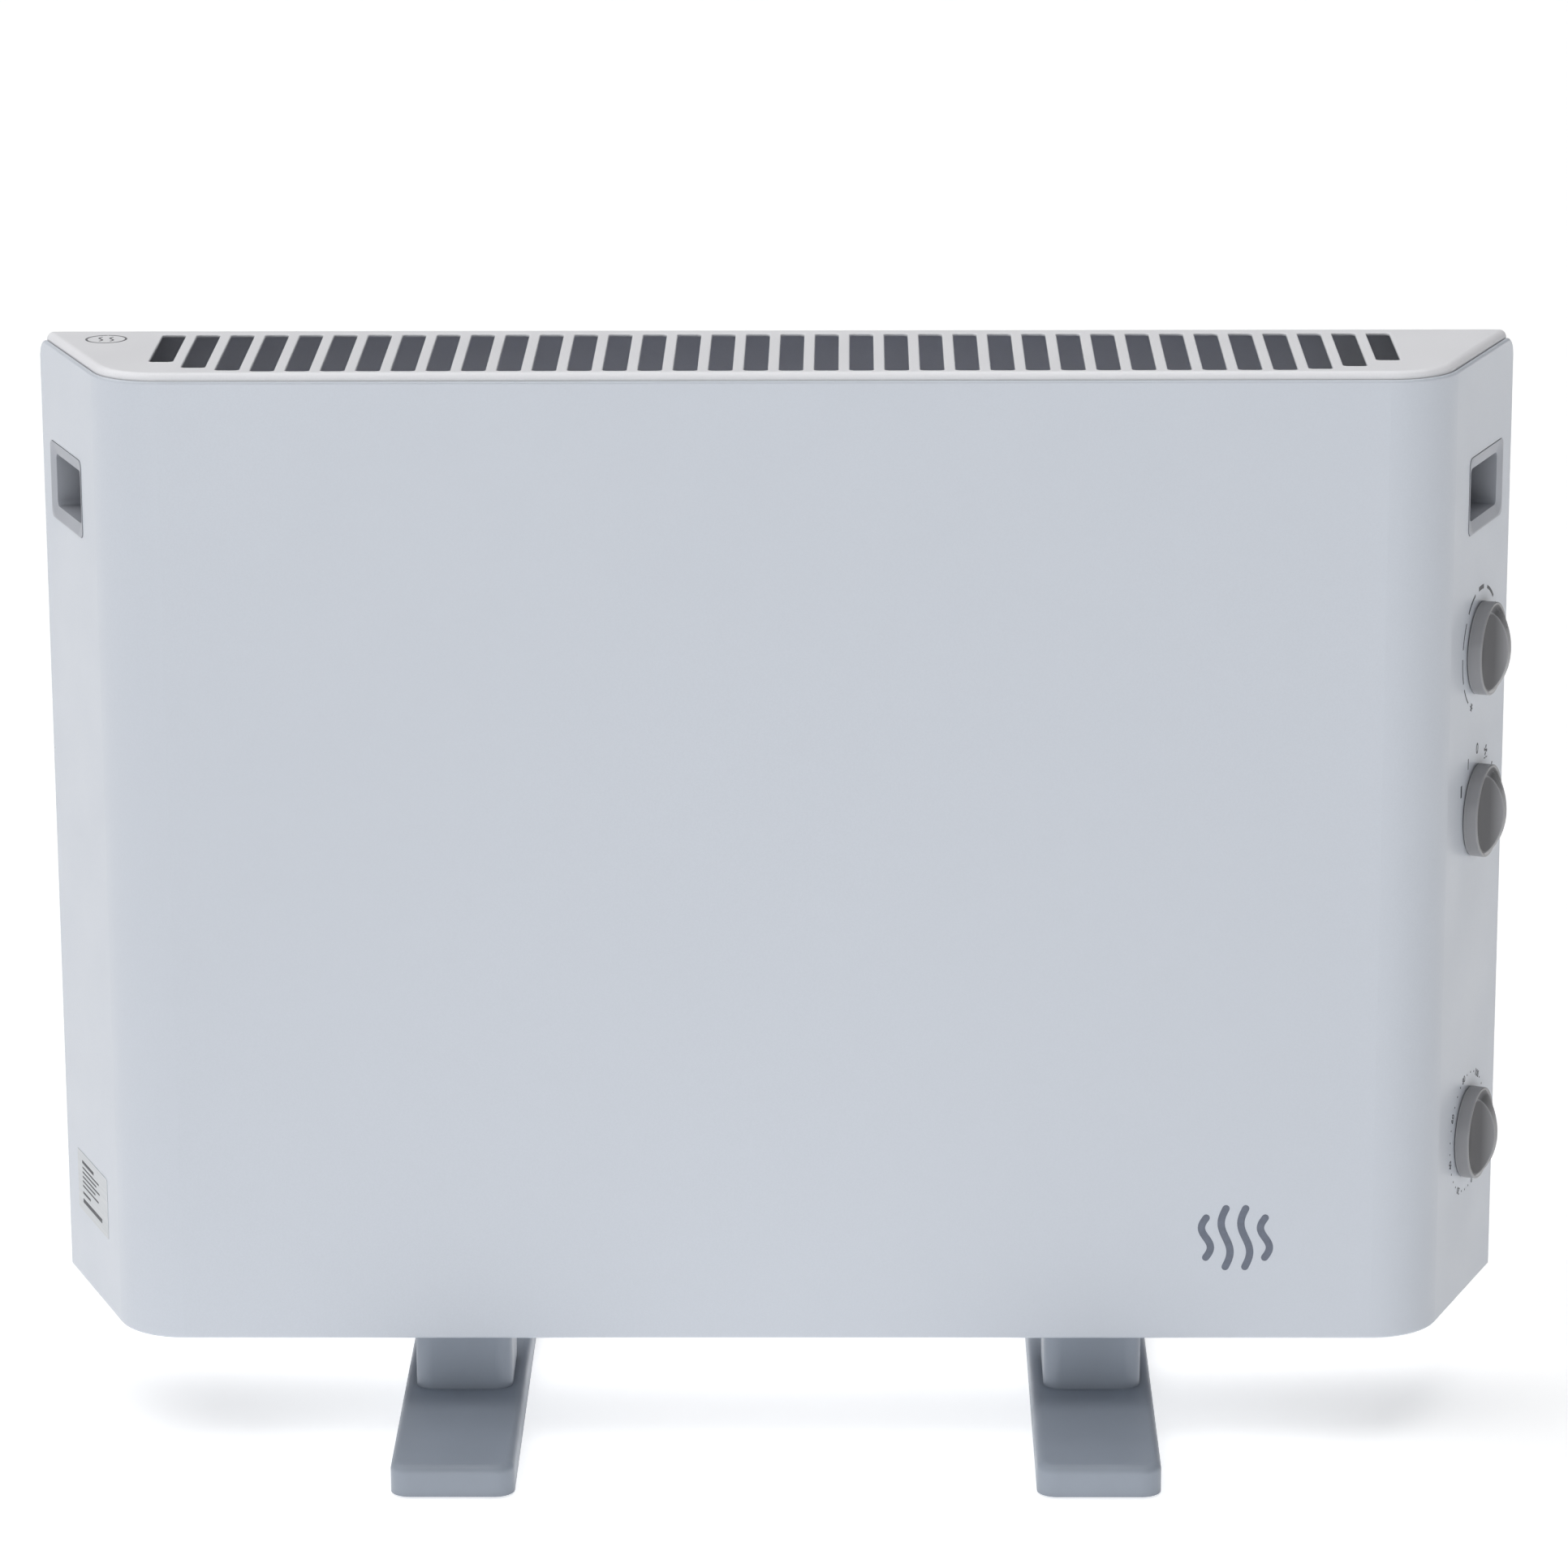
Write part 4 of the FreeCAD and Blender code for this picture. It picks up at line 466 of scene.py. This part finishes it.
def frost_symbol(centre, size):
    """Six crossed spokes with small barbs: the plain sign for frost."""
    strokes = []
    for spoke in range(3):
        tip = polar(size / 2, spoke * 60)
        strokes.append(ribbon([centre - tip, centre + tip], 0.35 * MM))
    for spoke in range(6):
        for turn in (-40, 40):
            fork = centre + polar(size * 0.28, spoke * 60)
            strokes.append(ribbon([fork, fork + polar(size * 0.17, spoke * 60 + turn)], 0.28 * MM))
    return strokes


def print_on_wall(name, mesh):
    add_piece(name, mesh, DIAL_FINISH, "root")


def print_thermostat_scale():
    """Arcs that grow wider from the frost sign upwards: (start, end, width in mm)."""
    plane = dial_plane("thermostat_turn")
    radius = 25 * MM
    arcs = (
        (-142, -121, 0.7), (-114, -89, 0.8), (-80, -55, 0.9), (-45, -20, 1.1),
        (-8, 8, 1.8), (20, 45, 1.3), (55, 80, 1.5),
    )
    outlines = [ring_piece(radius, start, end, width * MM) for start, end, width in arcs]
    outlines += frost_symbol(polar(radius, -155), 3.4 * MM)
    print_on_wall("thermostat_scale", printed_mesh("thermostat_scale", plane, outlines))


# A fan blade's corners: how far out, as a share of the sign's size, and at what angle.
BLADE = ((0.13, -20), (0.34, -32), (0.5, -12), (0.5, 14), (0.34, 20), (0.13, 18))


def fan_symbol(centre, size, heat_strokes):
    """A small four-blade fan, with one or two wavy strokes under it for the heat settings."""
    outlines = [dot(centre, size * 0.09)]
    for blade in range(4):
        base = blade * 90 + 20
        outlines.append([centre + polar(size * out, base + turn) for out, turn in BLADE])
    for stroke in range(heat_strokes):
        level = -size * (0.68 + 0.22 * stroke)
        wave = []
        for i in range(13):
            swing = 0.06 * size * sin(tau * i / 6)
            wave.append(centre + Vector((size * (i / 12 - 0.5), level + swing)))
        outlines.append(ribbon(wave, 0.32 * MM))
    return outlines


def print_selector_scale():
    """A wide and a narrow bar, a zero and two fan signs, thirty degrees apart."""
    plane = dial_plane("selector_turn")
    radius = 25.5 * MM
    outlines = [
        rounded_bar(polar(radius, -60), 1.7 * MM, 5.0 * MM, 0.3 * MM, 0),
        rounded_bar(polar(radius, -30), 0.8 * MM, 4.6 * MM, 0.3 * MM, 0),
    ]
    sign = 4.6 * MM
    outlines += fan_symbol(polar(radius, 30), sign, 1)
    outlines += fan_symbol(polar(radius, 60), sign, 2)
    print_on_wall("selector_scale", printed_mesh("selector_scale", plane, outlines))
    print_on_wall("selector_zero", digits_mesh(plane, [("0", polar(radius, 0), sign, 0)]))


def print_timer_scale():
    """Minutes from 0 to 120 with dots between them, and the stroke for permanently on."""
    plane = dial_plane("timer_turn")
    radius = 25 * MM
    first, step, last = -200, 46, 6
    words, outlines = [], []
    for index in range(last + 1):
        angle = first + step * index
        words.append((str(20 * index), polar(radius, angle), 2.9 * MM, angle))
        if index < last:
            outlines += [dot(polar(radius, angle + step * k / 4), 0.42 * MM) for k in (1, 2, 3)]
    half, always_on = 2.2 * MM, 150
    stroke = [polar(radius - half, always_on), polar(radius + half, always_on)]
    outlines.append(ribbon(stroke, 0.6 * MM))
    print_on_wall("timer_scale", printed_mesh("timer_scale", plane, outlines))
    print_on_wall("timer_numbers", digits_mesh(plane, words))


def wave_stroke(middle, tall, swing, width):
    """An upright heat stroke: one full wave of a sine from bottom to top."""
    count = 24
    points = []
    for i in range(count + 1):
        across = middle[0] + swing * sin(tau * i / count)
        points.append(Vector((across, middle[1] + tall * (i / count - 0.5))))
    return ribbon(points, width)


def print_front_mark():
    """A plain sign for warm air at the lower right of the front."""
    low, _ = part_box("casing_shell")
    plane = Plane((186.8 * MM, low.y, 88.6 * MM), (1, 0, 0), (0, -1, 0))
    strokes = ((-12.0, 17.0), (-4.0, 25.0), (4.0, 25.0), (12.0, 17.0))
    outlines = [wave_stroke((x * MM, 0), tall * MM, 1.9 * MM, 3.0 * MM) for x, tall in strokes]
    mesh = printed_mesh("front_mark", plane, outlines)
    add_piece("front_mark", mesh, printed("front_ink", FRONT_INK), "root")


def print_top_mark():
    """A ring with two rising strokes on the outlet's left shoulder."""
    _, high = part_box("top_grille")
    plane = Plane((-270 * MM, 26.5 * MM, high.z), (1, 0, 0), (0, 0, 1))
    ring = [ring_piece(8 * MM, start, start + 118, 0.9 * MM) for start in (0, 120, 240)]
    strokes = [wave_stroke((x * MM, 0), 8 * MM, 0.8 * MM, 0.8 * MM) for x in (-2.2, 2.2)]
    mesh = printed_mesh("top_mark", plane, ring + strokes)
    add_piece("top_mark", mesh, printed("pale_ink", PALE_INK), "root")


def print_label():
    """Rows of plain bars on the foil plate, in place of its small print."""
    plate = NODES["rating_label"]
    corners = [plate.matrix_world @ vertex.co for vertex in plate.data.vertices]
    middle = sum(corners, Vector()) / len(corners)
    inward = JOINTS["thermostat_turn"]["axis"]
    out = Vector((inward[0], -inward[1], 0)).normalized()
    reach = max((corner - middle).dot(out) for corner in corners)
    plane = Plane(middle + out * reach, UP.cross(out), out)
    margin = 16
    rows = (
        (9, 18, 1.4), (6.5, 26, 0.7), (4.5, 22, 0.7), (2.5, 27, 0.7),
        (0.5, 20, 0.7), (-1.5, 25, 0.7), (-4.5, 12, 1.0), (-8, 30, 1.8),
    )
    outlines = []
    for level, wide, tall in rows:
        centre = ((wide / 2 - margin) * MM, level * MM)
        outlines.append(rounded_bar(centre, wide * MM, tall * MM, 0.2 * MM))
    mesh = printed_mesh("label_bars", plane, outlines)
    add_piece("label_bars", mesh, DIAL_FINISH, "root")


# ---------------------------------------------------------------- room, light and camera


# The floor glows, and more so near the heater: strength far away and close by, the middle of
# the bright patch, and how fast it fades along each axis.
FLOOR_HALF = 30.0
FLOOR_GLOW = (0.24, 0.62)
GLOW_MIDDLE = (0, 0.3, 0)
GLOW_FADE = (1.9, 2.3, 1.0)

# The room's own light falls from left to right.
ROOM_COLOUR = (0.985, 0.99, 1.0, 1)
ROOM_LIGHT = (0.40, 0.06)


def build_floor():
    half = FLOOR_HALF
    corners = [(-half, -half, 0), (half, -half, 0), (half, half, 0), (-half, half, 0)]
    mesh = bpy.data.meshes.new("floor")
    mesh.from_pydata(corners, [], [(0, 1, 2, 3)])
    floor = bpy.data.objects.new("floor", mesh)
    bpy.context.scene.collection.objects.link(floor)
    f = Finish("floor_paper")
    f.set("Base Color", f.mix(f.noise(2.0), (0.93, 0.93, 0.935), (0.95, 0.95, 0.95)))
    f.set("Roughness", 0.9)
    f.set("Emission Color", (1.0, 1.0, 1.0))
    inputs = {"Vector": f.place, "Location": GLOW_MIDDLE, "Scale": GLOW_FADE}
    near = {"Vector": f.add("ShaderNodeMapping", inputs).outputs[0]}
    glow = f.add("ShaderNodeTexGradient", near, gradient_type="QUADRATIC_SPHERE").outputs["Fac"]
    f.set("Emission Strength", f.spread(glow, 0.0, 0.35, *FLOOR_GLOW))
    mesh.materials.append(f.material)


def soft_light(name, place, target, size, power, colour):
    """A rectangular panel at place, turned towards target."""
    data = bpy.data.lights.new(name, "AREA")
    data.shape = "RECTANGLE"
    data.size, data.size_y = size
    data.energy = power
    data.color = colour
    lamp = bpy.data.objects.new(name, data)
    lamp.location = place
    aim = Vector(target) - Vector(place)
    lamp.rotation_euler = aim.to_track_quat("-Z", "Y").to_euler()
    bpy.context.scene.collection.objects.link(lamp)


def sky_light(name, lean, strength, angle):
    """A broad light from above, leaning by two small turns."""
    data = bpy.data.lights.new(name, "SUN")
    data.energy = strength
    data.angle = angle
    lamp = bpy.data.objects.new(name, data)
    lamp.rotation_euler = (lean[1], lean[0], 0)
    bpy.context.scene.collection.objects.link(lamp)


def light_room():
    """A dim room, a broad light from above and a wash on the front."""
    world = bpy.data.worlds.new("studio")
    bpy.context.scene.world = world
    world.use_nodes = True
    tree = world.node_tree
    background = tree.nodes["Background"]
    background.inputs["Color"].default_value = ROOM_COLOUR
    split = tree.nodes.new("ShaderNodeSeparateXYZ")
    tree.links.new(tree.nodes.new("ShaderNodeTexCoord").outputs["Generated"], split.inputs[0])
    fade = tree.nodes.new("ShaderNodeMapRange")
    left, right = ROOM_LIGHT
    for socket, value in (("From Min", -1), ("From Max", 1), ("To Min", left), ("To Max", right)):
        fade.inputs[socket].default_value = value
    tree.links.new(split.outputs["X"], fade.inputs["Value"])
    tree.links.new(fade.outputs[0], background.inputs["Strength"])
    sky_light("overhead", (-0.2, -0.2), 2.0, radians(80))
    cool_white = (0.95, 0.98, 1.0)
    soft_light("front_wash", (-0.6, -3.2, 0.4), (0, 0, 0.2), (2.0, 0.6), 18, cool_white)


# The camera's place, its three turns in radians, its focal length in mm and its vertical shift.
CAMERA_PLACE = (0.03107, -2.5543, 0.94114)
CAMERA_TURN = (-0.011, 0.2797, -0.0036)
CAMERA_LENS = 149.07
CAMERA_SHIFT = 0.09


def place_camera():
    """A long lens from in front and above, with a vertical shift that straightens the sides."""
    yaw, pitch, roll = CAMERA_TURN
    ahead = Vector((sin(yaw) * cos(pitch), cos(yaw) * cos(pitch), -sin(pitch)))
    level = Vector((cos(yaw), -sin(yaw), 0))
    above = level.cross(ahead)
    right = level * cos(roll) + above * sin(roll)
    top = above * cos(roll) - level * sin(roll)
    data = bpy.data.cameras.new("camera")
    data.lens = CAMERA_LENS
    data.sensor_width = 36
    data.shift_y = CAMERA_SHIFT
    data.clip_end = 100
    data.dof.use_dof = False
    camera = bpy.data.objects.new("camera", data)
    turn = Matrix((right, top, -ahead)).transposed().to_4x4()
    camera.matrix_world = Matrix.Translation(CAMERA_PLACE) @ turn
    bpy.context.scene.collection.objects.link(camera)
    bpy.context.scene.camera = camera


paint_nodes()
print_thermostat_scale()
print_selector_scale()
print_timer_scale()
print_front_mark()
print_top_mark()
print_label()
build_floor()
light_room()
place_camera()
bpy.context.scene.view_settings.view_transform = "Standard"
